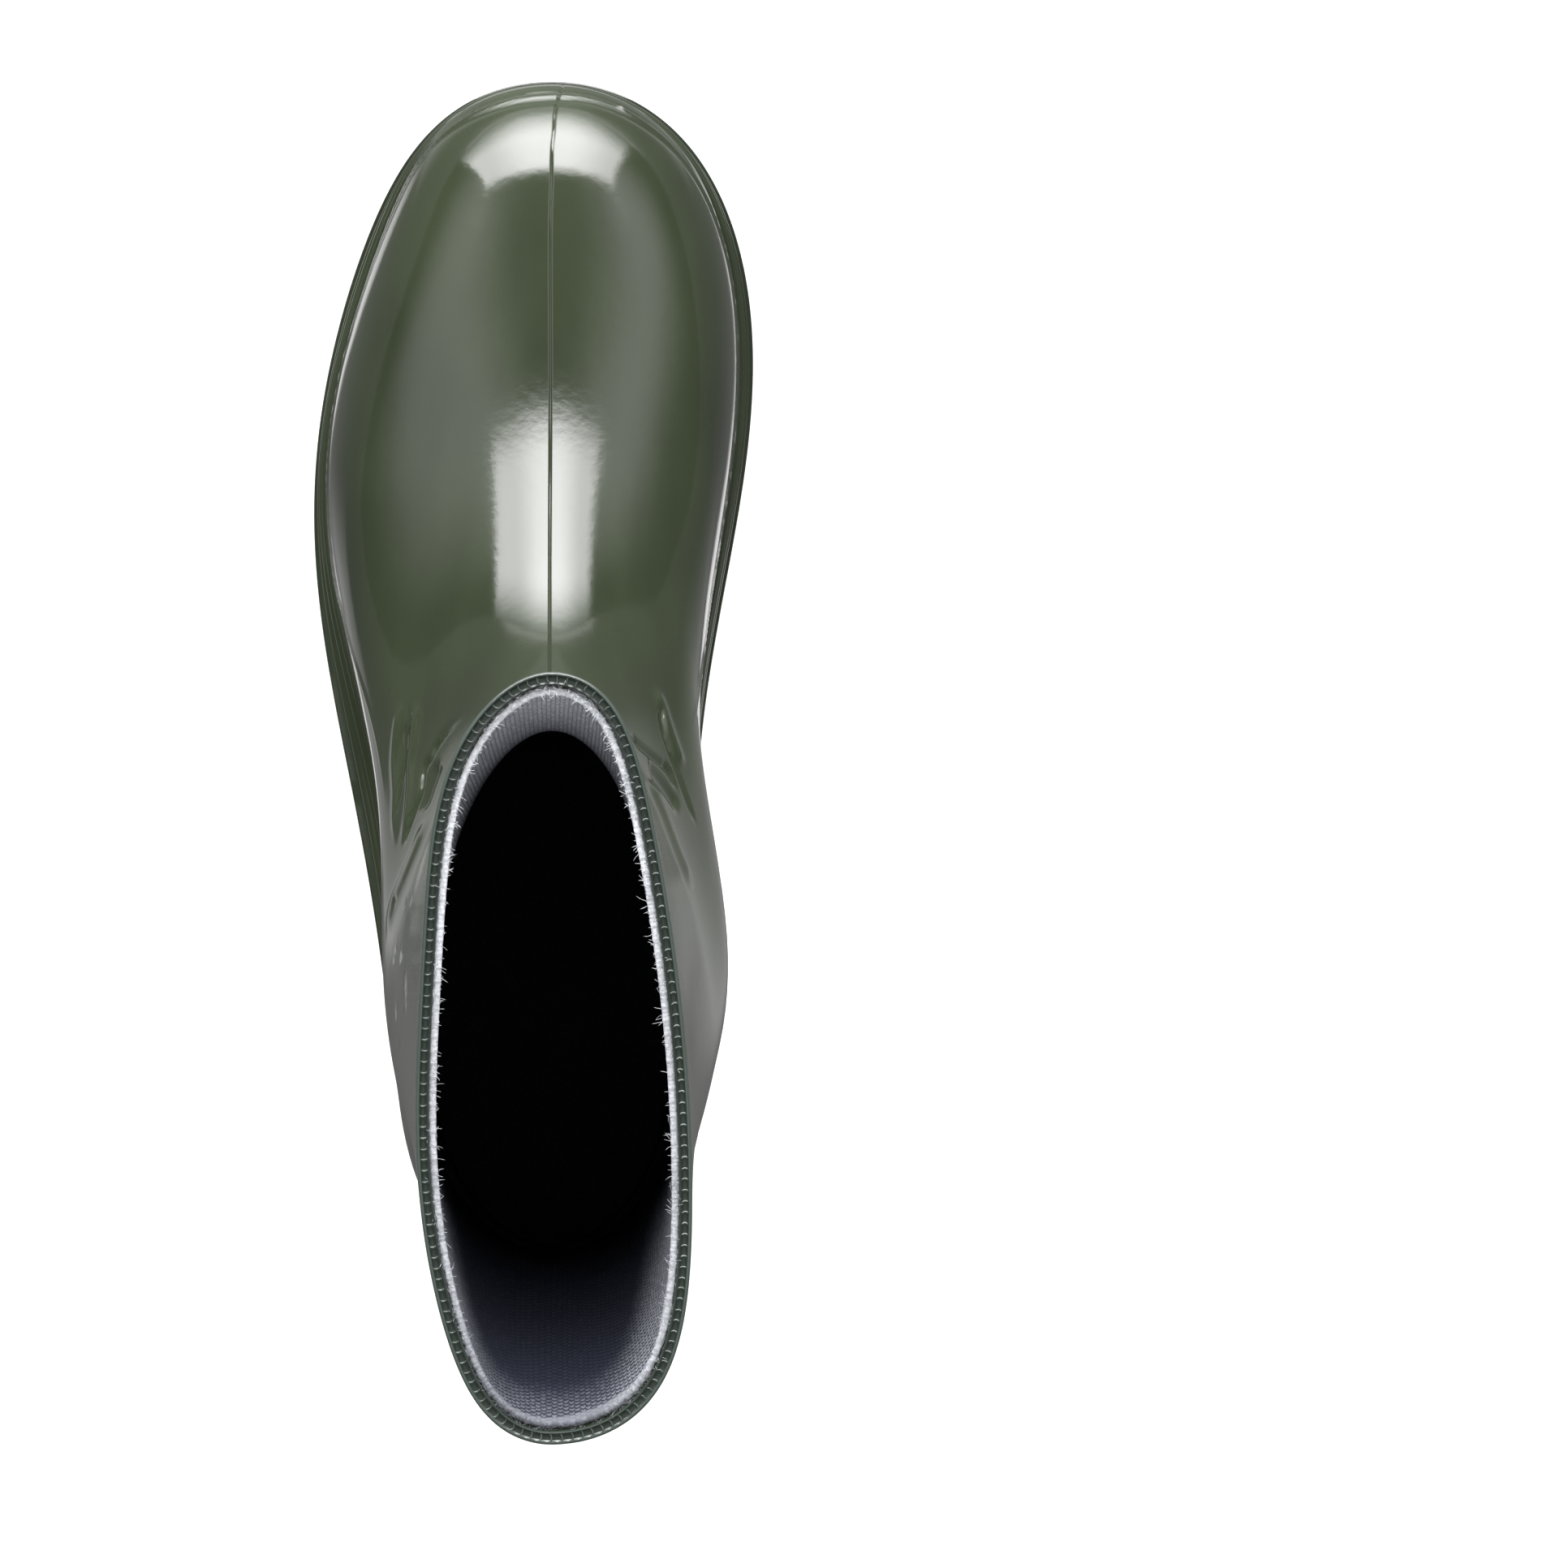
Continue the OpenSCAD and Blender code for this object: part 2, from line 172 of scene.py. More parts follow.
def walk_loop(edges: Sequence[bmesh.types.BMEdge], start: bmesh.types.BMVert) -> list[bmesh.types.BMVert]:
    """Orders the points of a closed loop of edges.

    Args:
        edges: The loop's edges.
        start: The point to start from, which leaves towards the medial side.

    Returns:
        The points in order.
    """
    beside: dict[bmesh.types.BMVert, list[bmesh.types.BMVert]] = {}
    for edge in edges:
        for here, there in (edge.verts, reversed(edge.verts)):
            beside.setdefault(here, []).append(there)
    loop = [start, max(beside[start], key=lambda v: v.co.x)]
    while True:
        onward = [v for v in beside[loop[-1]] if v is not loop[-2]]
        if not onward or onward[0] is start:
            return loop
        loop.append(onward[0])


@dataclass(frozen=True)
class Last:
    """The outer skin that the upper is moulded to, as rings of points from the feather edge to the rim.

    A place on it is a row, counted in rings, and a turn round the ring in degrees: 0 is the heel, 180 the
    toe or shin, and the medial side comes first.
    """

    rings: Array

    @classmethod
    def from_node(cls, node: bpy.types.Object) -> "Last":
        """Reads the rings from the CAD upper's outer skin.

        Args:
            node: The upper's CAD node.

        Returns:
            The last.
        """
        copy = merged_copy(node)
        top = max(v.co.z for v in copy.verts)
        level = {v for v in copy.verts if v.co.z > top - 10 * CLOSE}
        rim = [e for e in copy.edges if all(v in level for v in e.verts)
               and any(any(v not in level for v in f.verts) for f in e.link_faces)]
        start = min(level, key=lambda v: v.co.y)
        ring = walk_loop(rim, start)
        centre = start.co.x
        seen = set(level)
        rows = [ring]
        while True:
            below = {e.other_vert(v) for v in rows[-1] for e in v.link_edges} - seen
            if len(below) != len(ring):
                break
            seen |= below
            above = set(rows[-1])
            hoop = [e for v in below for e in v.link_edges if e.other_vert(v) in below
                    and any(above.intersection(f.verts) for f in e.link_faces)]
            middle = [v for v in below if abs(v.co.x - centre) < 0.1 * MM]
            rows.append(walk_loop(list(set(hoop)), min(middle, key=lambda v: v.co.y)))
        rings = np.array([[v.co[:] for v in row] for row in reversed(rows)], float)
        copy.free()
        return cls(rings)

    @property
    def top(self) -> float:
        """The rim's row."""
        return float(len(self.rings) - 1)

    @property
    def centre(self) -> float:
        """Where the boot's centre line lies, across the boot."""
        return float(self.rings[0, 0, 0])

    def at(self, rows: Array, turns: Array) -> Array:
        """Gives the point at each pair of a row and a turn.

        Args:
            rows: Rows, one for each point.
            turns: Turns, one for each point.

        Returns:
            The points.
        """
        count, around = self.rings.shape[:2]
        rows = np.clip(np.asarray(rows, float), 0, count - 1)
        padded = np.concatenate([2 * self.rings[:1] - self.rings[1:2], self.rings,
                                 2 * self.rings[-1:] - self.rings[-2:-1]])
        row = np.minimum(np.floor(rows).astype(int), count - 2)
        place = np.asarray(turns, float) / 360 * around
        cell = np.floor(place).astype(int)
        up, along = catmull_weights(rows - row), catmull_weights(place - cell)
        total = np.zeros((len(rows), 3))
        for i in range(4):
            for j in range(4):
                total += (up[:, i] * along[:, j])[:, None] * padded[row + i, (cell + j - 1) % around]
        return total

    def grid(self, rows: Array, turns: Array) -> Array:
        """Gives the points of every row at every turn, rows first."""
        both = np.meshgrid(rows, turns, indexing="ij")
        return self.at(both[0].ravel(), both[1].ravel()).reshape(len(rows), len(turns), 3)

    def normals(self, rows: Array, turns: Array) -> Array:
        """Gives the outward directions of every row at every turn.

        Args:
            rows: The rows.
            turns: The turns.

        Returns:
            The directions, rows first.
        """
        reach_row, reach_turn = 0.2, 1.0
        above, below = np.minimum(rows + reach_row, self.top), np.maximum(rows - reach_row, 0)
        up = self.grid(above, turns) - self.grid(below, turns)
        along = self.grid(rows, turns + reach_turn) - self.grid(rows, turns - reach_turn)
        return unit(np.cross(along, up))

    def bed_height(self, along: Array) -> Array:
        """Gives the height of the bed that the upper stands on, at places along the boot."""
        half = self.rings[0, : self.rings.shape[1] // 2 + 1]
        return np.interp(along, half[:, 1], half[:, 2])


@dataclass(frozen=True)
class Outline:
    """The sole's outline, as evenly turned points from the heel back round by the medial side."""

    points: Array

    @classmethod
    def from_node(cls, node: bpy.types.Object, height: float, knots: int = 120) -> "Outline":
        """Reads the outline from a level cut through the CAD sole.

        Args:
            node: The sole's CAD node.
            height: Height of the cut, above the tread's channels and below the heel's pockets.
            knots: How many points to keep.

        Returns:
            The outline.
        """
        copy = merged_copy(node)
        cut = slice_mesh(copy, (0, 0, height), (0, 0, 1), CLOSE / 10)
        edges = [g for g in cut if isinstance(g, bmesh.types.BMEdge)]
        start = min({v for e in edges for v in e.verts}, key=lambda v: v.co.y)
        loop = np.array([v.co[:2] for v in walk_loop(edges, start)])
        copy.free()
        back, front = loop[:, 1].min(), loop[:, 1].max()
        share = np.clip((loop[:, 1] - back) / (front - back), 0, 1)
        turn = np.degrees(np.arccos(1 - 2 * share))
        toe = int(np.argmax(loop[:, 1]))
        turn[toe + 1:] = 360 - turn[toe + 1:]
        even = full_circle(knots)
        return cls(np.stack([np.interp(even, turn, loop[:, k], period=360) for k in (0, 1)], -1))

    def at(self, turns: Array, inset: Array | float = 0.0) -> Array:
        """Gives the outline's points, moved inwards.

        Args:
            turns: Turns round the outline.
            inset: How far to move each point, square to the outline.

        Returns:
            Level points, two numbers each.
        """
        count = len(self.points)

        def place(shift: float) -> Array:
            """Gives the outline's points a little further round."""
            return smooth_loop(self.points, (np.asarray(turns, float) + shift) / 360 * count)

        along = unit(place(1.0) - place(-1.0))
        outward = np.stack([along[:, 1], -along[:, 0]], -1)
        return place(0.0) - np.asarray(inset, float).reshape(-1, 1) * outward


# ---- Meshes ----
def grid_mesh(name: str, points: Array, weave: Array | None = None, strands: int = 1) -> bpy.types.Mesh:
    """Lays a grid of faces over points and closes it where its points meet.

    Args:
        name: The mesh's name.
        points: The grid's points, rows first.
        weave: The places of the same points on the cloth, if the piece is knitted or woven.
        strands: How many separate strands of equal length the rows make.

    Returns:
        The mesh, with its faces outwards.
    """
    rows, columns = points.shape[:2]
    sheet = bmesh.new()
    bmesh.ops.create_grid(sheet, x_segments=columns - 1, y_segments=rows - 1, size=1.0)
    if strands > 1:
        each = rows // strands
        gaps = [f for i, f in enumerate(sheet.faces) if (i // (columns - 1)) % each == each - 1]
        bmesh.ops.delete(sheet, geom=gaps, context="FACES_ONLY")
    mesh = bpy.data.meshes.new(name)
    sheet.to_mesh(mesh)
    mesh.vertices.foreach_set("co", points.astype(np.float32).ravel())
    if weave is not None:
        corners = np.zeros(len(mesh.loops), np.int32)
        mesh.loops.foreach_get("vertex_index", corners)
        layer = mesh.uv_layers.new(name="weave")
        layer.data.foreach_set("uv", weave.reshape(-1, 2)[corners].astype(np.float32).ravel())
    sheet.clear()
    sheet.from_mesh(mesh)
    bmesh.ops.remove_doubles(sheet, verts=sheet.verts[:], dist=CLOSE)
    bmesh.ops.recalc_face_normals(sheet, faces=sheet.faces[:])
    sheet.to_mesh(mesh)
    sheet.free()
    return mesh


def closed_rows(points: Array) -> Array:
    """Repeats the first column at the end, so that a grid closes round."""
    return np.concatenate([points, points[:, :1]], 1)


def on_spine(ring: Array, centre: float) -> Array:
    """Moves a ring's points level onto the boot's centre line, where its two sides then meet.

    Args:
        ring: The ring's points.
        centre: Where the centre line lies, across the boot.

    Returns:
        The moved points.
    """
    spine = ring.copy()
    spine[..., 0] = centre
    return spine


def mesh_object(name: str, meshes: Sequence[bpy.types.Mesh], sharp: float = 40.0) -> bpy.types.Object:
    """Makes one object of one or more meshes, smooth apart from its sharp edges.

    Args:
        name: The object's name.
        meshes: Its meshes, which are used up.
        sharp: The angle in degrees from which an edge is sharp.

    Returns:
        The object.
    """
    whole = bmesh.new()
    for mesh in meshes:
        whole.from_mesh(mesh)
        bpy.data.meshes.remove(mesh)
    joined = bpy.data.meshes.new(name)
    whole.to_mesh(joined)
    whole.free()
    joined.shade_smooth()
    joined.set_sharp_from_angle(angle=math.radians(sharp))
    piece = bpy.data.objects.new(name, joined)
    bpy.context.scene.collection.objects.link(piece)
    return piece


# ---- Finishes ----
class Value:
    """A number in a material, which Python's operators work on."""

    def __init__(self, shader: "Board", socket: bpy.types.NodeSocket) -> None:
        """Wraps a socket of a shader's node."""
        self.shader = shader
        self.socket = socket

    def maths(self, operation: str, *others: "Value | float") -> "Value":
        """Adds a Math node with this value first."""
        inputs = {i: v for i, v in enumerate((self, *others))}
        return self.shader.node("ShaderNodeMath", {"operation": operation}, inputs)

    def reflected(self, operation: str, first: float) -> "Value":
        """Adds a Math node with this value second."""
        return self.shader.node("ShaderNodeMath", {"operation": operation}, {0: first, 1: self})

    def __add__(self, other: "Value | float") -> "Value":
        """Adds."""
        return self.maths("ADD", other)

    __radd__ = __add__

    def __sub__(self, other: "Value | float") -> "Value":
        """Takes away."""
        return self.maths("SUBTRACT", other)

    def __rsub__(self, other: float) -> "Value":
        """Takes this from a number."""
        return self.reflected("SUBTRACT", other)

    def __mul__(self, other: "Value | float") -> "Value":
        """Multiplies."""
        return self.maths("MULTIPLY", other)

    __rmul__ = __mul__

    def __truediv__(self, other: "Value | float") -> "Value":
        """Divides."""
        return self.maths("DIVIDE", other)

    def __pow__(self, other: "Value | float") -> "Value":
        """Raises to a power."""
        return self.maths("POWER", other)

    def __abs__(self) -> "Value":
        """Drops the sign."""
        return self.maths("ABSOLUTE")

    def fraction(self) -> "Value":
        """Keeps what is past the whole number."""
        return self.maths("FRACT")

    def sine(self) -> "Value":
        """Takes the sine."""
        return self.maths("SINE")

    def between(self, low: float, high: float, start: float = 0.0, end: float = 1.0) -> "Value":
        """Goes smoothly from one number to another as this value goes from low to high.

        Args:
            low: Where it starts.
            high: Where it ends.
            start: The number up to there.
            end: The number past there.

        Returns:
            The number in between.
        """
        ends = {"From Min": low, "From Max": high, "To Min": start, "To Max": end}
        return self.shader.node("ShaderNodeMapRange", {"interpolation_type": "SMOOTHSTEP"},
                                {"Value": self, **ends})


@dataclass(frozen=True)
class Window:
    """A soft-edged range: it opens between the first two numbers and closes between the last two."""

    open_from: float
    open_to: float
    close_from: float
    close_to: float

    def over(self, value: Value) -> Value:
        """Gives 1 inside the range and 0 outside it."""
        opened = value.between(self.open_from, self.open_to)
        return opened * value.between(self.close_from, self.close_to, 1, 0)


class Board:
    """A tree of shader nodes under construction."""

    def __init__(self, tree: bpy.types.NodeTree) -> None:
        """Starts from a tree that Blender has set up."""
        self.nodes = tree.nodes
        self.links = tree.links

    def node(self, kind: str, settings: Mapping[str, object] | None = None,
             sockets: Mapping[int | str, object] | None = None, output: int | str = 0) -> Value:
        """Adds a node.

        Args:
            kind: The node's type.
            settings: Its settings, which are set before its sockets.
            sockets: Values or links for its inputs, by name or number.
            output: The output to give.

        Returns:
            The output, as a value.
        """
        made = self.nodes.new(kind)
        for key, setting in (settings or {}).items():
            setattr(made, key, setting)
        for key, given in (sockets or {}).items():
            self.feed(made.inputs[key], given)
        return Value(self, made.outputs[output])

    def feed(self, target: bpy.types.NodeSocket, given: object) -> None:
        """Links a value to a socket, or sets the socket.

        Args:
            target: The socket.
            given: A value to link, or a number, vector or colour to set.
        """
        if isinstance(given, Value):
            self.links.new(given.socket, target)
        else:
            target.default_value = given

    def parts(self, vector: Value) -> tuple[Value, Value, Value]:
        """Splits a vector into its three numbers."""
        first = self.node("ShaderNodeSeparateXYZ", {}, {0: vector})
        return tuple(Value(self, socket) for socket in first.socket.node.outputs)

    def mix(self, share: "Value | float", first: object, second: object) -> Value:
        """Mixes two colours."""
        return self.node("ShaderNodeMix", {"data_type": "RGBA"}, {0: share, 6: first, 7: second}, output=2)


class Shader(Board):
    """A material under construction."""

    def __init__(self, name: str) -> None:
        """Starts a material with a Principled BSDF.

        Args:
            name: The material's name.
        """
        self.material = bpy.data.materials.new(name)
        self.material.use_nodes = True
        super().__init__(self.material.node_tree)
        self.surface = self.nodes["Principled BSDF"]

    def place(self, scale: tuple[float, float, float] = (1, 1, 1)) -> Value:
        """Gives the place on the object, in metres, stretched along each axis."""
        spot = self.node("ShaderNodeTexCoord", output="Object")
        return self.node("ShaderNodeMapping", {}, {"Vector": spot, "Scale": scale})

    def noise(self, spot: Value, scale: float, detail: float = 3.0, roughness: float = 0.5) -> Value:
        """Gives a soft random value from 0 to 1."""
        return self.node("ShaderNodeTexNoise", {},
                         {"Vector": spot, "Scale": scale, "Detail": detail, "Roughness": roughness})

    def bump(self, height: Value, distance: float, strength: float = 1.0) -> None:
        """Raises the surface's normal by a height that is given as a share of a distance."""
        made = self.node("ShaderNodeBump", {}, {"Height": height, "Distance": distance, "Strength": strength})
        self.feed(self.surface.inputs["Normal"], made)

    def dress(self, **inputs: object) -> None:
        """Sets the surface's own sockets, with spaces as underscores in their names."""
        for key, given in inputs.items():
            self.feed(self.surface.inputs[key.replace("_", " ")], given)


def paint(red: int, green: int, blue: int) -> tuple[float, float, float, float]:
    """Turns a colour as it is seen into light values.

    Args:
        red: Its red, from 0 to 255.
        green: Its green.
        blue: Its blue.

    Returns:
        The light values, with an alpha of 1.
    """
    def light(level: float) -> float:
        """Takes one channel's display curve off."""
        return level / 12.92 if level <= 0.04045 else ((level + 0.055) / 1.055) ** 2.4

    return (light(red / 255), light(green / 255), light(blue / 255), 1.0)


@dataclass(frozen=True)
class MouldedGreen:
    """Glossy olive rubber, injected in one go, with faint flow clouds and a little dust in its gloss."""

    name: str
    deep: tuple[float, float, float, float] = paint(36, 42, 30)
    light: tuple[float, float, float, float] = paint(45, 52, 37)
    gloss: float = 0.1
    relief: float = 0.06

    def material(self) -> bpy.types.Material:
        """Builds the material."""
        shader = Shader(self.name)
        spot = shader.place()
        cloud = shader.noise(spot, 14, 2)
        flow = shader.noise(shader.place((1, 0.25, 0.6)), 60, 3)
        colour = shader.mix((cloud * 0.6 + flow * 0.4).between(0.35, 0.65), self.deep, self.light)
        smear = shader.noise(spot, 35, 4, 0.6)
        fine = shader.noise(spot, 420, 2)
        shader.dress(Base_Color=colour, Roughness=smear * 0.08 + fine * 0.03 + (self.gloss - 0.05), IOR=1.5)
        shader.bump(fine * 0.35 + flow * 0.65, self.relief * MM)
        return shader.material


@dataclass(frozen=True)
class RimBand:
    """The rim's rubber: a painted highlight along its outer edge, then a dark band of small cells with pale
    ticks between.
    """

    name: str
    dark: tuple[float, float, float, float] = paint(28, 34, 30)
    # colour of the painted highlight along the band's rolled edges
    edge: tuple[float, float, float, float] = paint(62, 70, 65)
    tick: tuple[float, float, float, float] = paint(84, 93, 88)

    def material(self) -> bpy.types.Material:
        """Builds the material. The band's own map counts cells along it and millimetres across it."""
        shader = Shader(self.name)
        cell, inset, _ = shader.parts(shader.node("ShaderNodeUVMap", {"uv_map": "weave"}))
        wander = shader.noise(shader.place(), 300, 2)
        bend = (inset - 1.3) ** 2
        phase = abs((cell + bend * 0.3 + (wander - 0.5) * 0.35).fraction() - 0.5)
        tick = phase.between(0.4, 0.47) * Window(0.7, 0.95, 1.7, 2.0).over(inset)
        # painted highlight along the rolled outer edge, fainter along the inner edge
        edge_highlight = inset.between(0.75, 0.5) + inset.between(1.95, 2.2) * 0.4
        ticked = shader.mix(tick * (wander * 0.8 + 0.1), self.dark, self.tick)
        colour = shader.mix(edge_highlight * 0.8, ticked, self.edge)
        shader.dress(Base_Color=colour, Roughness=wander * 0.1 + 0.15, IOR=1.5)
        shader.bump(tick * 0.7 + wander * 0.3, 0.12 * MM)
        return shader.material


@dataclass(frozen=True)
class KnitLining:
    """Fine brushed jersey: columns of loops, pale at its raised edge, with painted shade that darkens it
    further down and towards the heel.
    """

    name: str
    pale: tuple[float, float, float, float] = paint(214, 216, 220)
    gap: tuple[float, float, float, float] = paint(92, 95, 104)
    shade: tuple[float, float, float, float] = paint(24, 26, 37)
    edge_height: float = 0.2588
    # depths below the raised edge where the painted shade starts and where it is full
    pale_depth: float = 0.006
    full_shade_depth: float = 0.06
    middle_line: float = 0.0043

    def material(self) -> bpy.types.Material:
        """Builds the material. The cloth's own map counts columns of loops across and loops up."""
        shader = Shader(self.name)
        cloth = shader.node("ShaderNodeUVMap", {"uv_map": "weave"})
        column, course, _ = shader.parts(cloth)
        across = column.fraction() - 0.5
        rib = 1 - abs(across) ** 2 * 2.0
        # every other column is half a loop higher, and no two loops are quite alike
        brick = ((column - column.fraction()) * 0.5).fraction()
        wander = shader.noise(shader.place(), 700, 2)
        slant = (course + abs(across) * 0.5 + brick + (wander - 0.5) * 0.9) * (2 * math.pi)
        loop = slant.sine() * 0.5 + 0.5
        out, along, height = shader.parts(shader.place())
        aside = abs(out - self.middle_line)
        drift = shader.noise(shader.place(), 90, 3)
        depth = (height - self.edge_height) * -1.0 + (drift - 0.5) * 0.012
        # painted shade: the cloth is darker towards the heel, most of all in its middle
        heel = along.between(-0.02, -0.11)
        heel_shade = heel * (aside.between(0.024, 0.006) * 0.4 + 0.35)
        middle = aside.between(0.021, 0.007) * heel
        # painted shade: the cloth darkens with depth below its raised edge, soonest in the heel's middle
        low = (depth * (middle * 1.5 + heel * 0.05 + 0.42)).between(self.pale_depth, self.full_shade_depth) ** 0.8
        raw = depth.between(0.0015, 0.004) * 0.8 + 0.2
        groove = (1 - raw * (1 - (loop * rib).between(0.25, 0.75))) * (1 - raw * 0.3)
        hollow, raised = shader.mix(heel_shade, self.gap, self.shade), shader.mix(heel_shade, self.pale, self.gap)
        thread = shader.mix(groove, hollow, raised)
        colour = shader.mix(low, thread, shader.mix(groove * 0.3, self.shade, self.gap))
        # more painted shade over the back wall, most of all in its middle
        colour = shader.mix(heel * (middle * 0.35 + 0.15), colour, self.shade)
        shader.dress(Base_Color=colour, Roughness=0.85, Specular_IOR_Level=0.08)
        shader.bump(loop * 0.6 + rib * 0.4 + shader.noise(shader.place(), 2500, 2) * 0.3, 0.25 * MM)
        return shader.material


@dataclass(frozen=True)
class Speckled:
    """A matt or brushed finish with a fine grain: board, foam, cloth, hard rubber or steel."""

    name: str
    deep: tuple[float, float, float, float]
    light: tuple[float, float, float, float]
    grain: float
    stretch: tuple[float, float, float] = (1, 1, 1)
    roughness: float = 0.7
    metal: float = 0.0
    relief: float = 0.1

    def material(self) -> bpy.types.Material:
        """Builds the material."""
        shader = Shader(self.name)
        coarse = shader.noise(shader.place(self.stretch), self.grain, 4, 0.6)
        fine = shader.noise(shader.place(self.stretch), self.grain * 6, 2)
        colour = shader.mix((coarse * 0.5 + fine * 0.5).between(0.35, 0.65), self.deep, self.light)
        shader.dress(Base_Color=colour, Metallic=self.metal,
                     Roughness=(coarse - 0.5) * 0.2 + self.roughness)
        shader.bump(coarse * 0.4 + fine * 0.6, self.relief * MM)
        return shader.material


class Finish(Enum):
    """The boot's finishes, each with the record's slot that it stands for, and its part of that slot."""

    UPPER = "upper_green"
    RIM = "upper_green/rim"
    SOLE = "sole_green"
    CORE = "core_black"
    SHANK = "shank_steel"
    BOARD = "board_tan"
    KNIT = "knit_grey"
    SEAM = "seam_thread"
    FOAM = "foam_grey"
    COVER = "cover_black"

    @property
    def slot(self) -> str:
        """Gives the record's slot."""
        return self.value.split("/")[0]


@dataclass
class Wardrobe:
    """Makes each finish once and puts it on the pieces."""

    made: dict[Finish, bpy.types.Material] = field(default_factory=dict)

    @staticmethod
    def recipe(finish: Finish) -> MouldedGreen | RimBand | KnitLining | Speckled:
        """Says how a finish is made.

        Args:
            finish: The finish.

        Returns:
            Its recipe.
        """
        return {
            Finish.UPPER: MouldedGreen("glossy_olive_rubber"),
            Finish.RIM: RimBand("rim_olive_rubber"),
            Finish.SOLE: MouldedGreen("sole_olive_rubber", paint(33, 39, 28), paint(40, 47, 34), 0.17, 0.09),
            Finish.CORE: Speckled("core_black_rubber", paint(24, 24, 26), paint(40, 40, 42), 300,
                                  roughness=0.6),
            Finish.SHANK: Speckled("brushed_spring_steel", paint(140, 142, 146), paint(196, 198, 202), 120,
                                   (1, 0.04, 1), 0.32, 1.0, 0.02),
            Finish.BOARD: Speckled("pressed_fibre_board", paint(150, 122, 84), paint(196, 168, 124), 260),
            Finish.KNIT: KnitLining("brushed_jersey_lining"),
            Finish.SEAM: Speckled("seam_thread_grey", paint(30, 31, 36), paint(60, 62, 68), 900),
            Finish.FOAM: Speckled("footbed_grey_foam", paint(64, 66, 70), paint(96, 98, 102), 700,
                                  roughness=0.9),
            # near-black cloth: partly the cover's own colour, partly painted shade deep in the foot
            Finish.COVER: Speckled("footbed_black_cloth", paint(26, 27, 31), paint(52, 54, 60), 1200,
                                   (1, 2, 1), 0.85),
        }[finish]

    def dress(self, piece: bpy.types.Object, finish: Finish) -> None:
        """Puts a finish on a piece.

        Args:
            piece: The piece, new or a CAD node.
            finish: The finish.
        """
        if finish not in self.made:
            self.made[finish] = self.recipe(finish).material()
        if not piece.material_slots:
            piece.data.materials.append(self.made[finish])
        for slot in piece.material_slots:
            slot.material = self.made[finish]

    def fit(self, piece: bpy.types.Object, finish: Finish, *nodes: str) -> bpy.types.Object:
        """Dresses a new piece and joins it to the boot.

        Args:
            piece: The piece.
            finish: Its finish.
            nodes: The CAD nodes that it stands for.

        Returns:
            The piece.
        """
        self.dress(piece, finish)
        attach(piece, BODY)
        finish.slot
        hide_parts(*nodes)
        LOG.info("%s: %d faces, %s", piece.name, len(piece.data.polygons), finish.slot)
        return piece


# ---- The upper ----
@dataclass(frozen=True)
class Mark:
    """A crease, rib, dent or parting line on the upper's skin.

    Its path is a list of rows and turns. Its height is negative where it is sunk, and it fades out over a
    share of its length at each end.
    """

    path: tuple[tuple[float, float], ...]
    width: float
    height: float
    fade: float = 0.2

    def rise(self, last: Last, points: Array) -> Array:
        """Says how far the mark moves each point of the skin.

        Args:
            last: The last that the mark lies on.
            points: The skin's points, one in each row.

        Returns:
            The moves, outwards.
        """
        trail = np.array(self.path, float)
        if len(trail) > 1:
            trail = smooth_path(trail, 10 if len(trail) < 15 else 6)
        line = last.at(trail[:, 0], trail[:, 1])
        reach = 3 * self.width
        moves = np.zeros(len(points))
        near = np.where(np.all((points > line.min(0) - reach) & (points < line.max(0) + reach), 1))[0]
        if not len(near):
            return moves
        spots = points[near]
        if len(line) == 1:
            gap = np.linalg.norm(spots - line[0], axis=1)
            moves[near] = self.height * np.exp(-((gap / self.width) ** 2))
            return moves
        best = np.full(len(near), np.inf)
        share = np.zeros(len(near))
        for k in range(len(line) - 1):
            step = line[k + 1] - line[k]
            along = np.clip((spots - line[k]) @ step / max(step @ step, 1e-18), 0, 1)
            gap = np.linalg.norm(spots - line[k] - along[:, None] * step, axis=1)
            closer = gap < best
            best[closer] = gap[closer]
            share[closer] = ((k + along) / (len(line) - 1))[closer]
        ends = smooth_step(0, self.fade, share) * smooth_step(0, self.fade, 1 - share) if self.fade else 1.0
        moves[near] = self.height * np.exp(-((best / self.width) ** 2)) * ends
        return moves


PARTING_LINE = ((3.6, 178), (5.05, 178), (6.4, 178.7), (7.75, 179.4), (8.6, 179.5), (9.6, 180), (10.9, 180.1),
                (12.4, 180.5), (16.5, 180.6), (21.4, 181), (31, 181), (40.9, 181))

# The bead where the sole's edge meets the upper, from the lateral ankle round the toe to the medial ankle
EDGE_BEAD = ((17.8, 265), (14.8, 264.5), (11.3, 265), (8.8, 264.5), (6.9, 262.5), (5.2, 260.5), (4.6, 254),
             (4.0, 249), (3.1, 240), (2.7, 228), (3.4, 214), (5.0, 203.5), (5.9, 194.5), (6.2, 186),
             (6.2, 178.5), (6.0, 173.5), (5.8, 167), (5.45, 160), (4.7, 152), (4.0, 145.5), (3.5, 139),
             (2.9, 132), (2.6, 122), (2.8, 110), (3.6, 102), (6.5, 96), (11.0, 95.5), (15.0, 101), (17.8, 107))


def beside(path: tuple[tuple[float, float], ...], rows: float) -> tuple[tuple[float, float], ...]:
    """Gives a path that runs some rows above another."""
    return tuple((row + rows, turn) for row, turn in path)


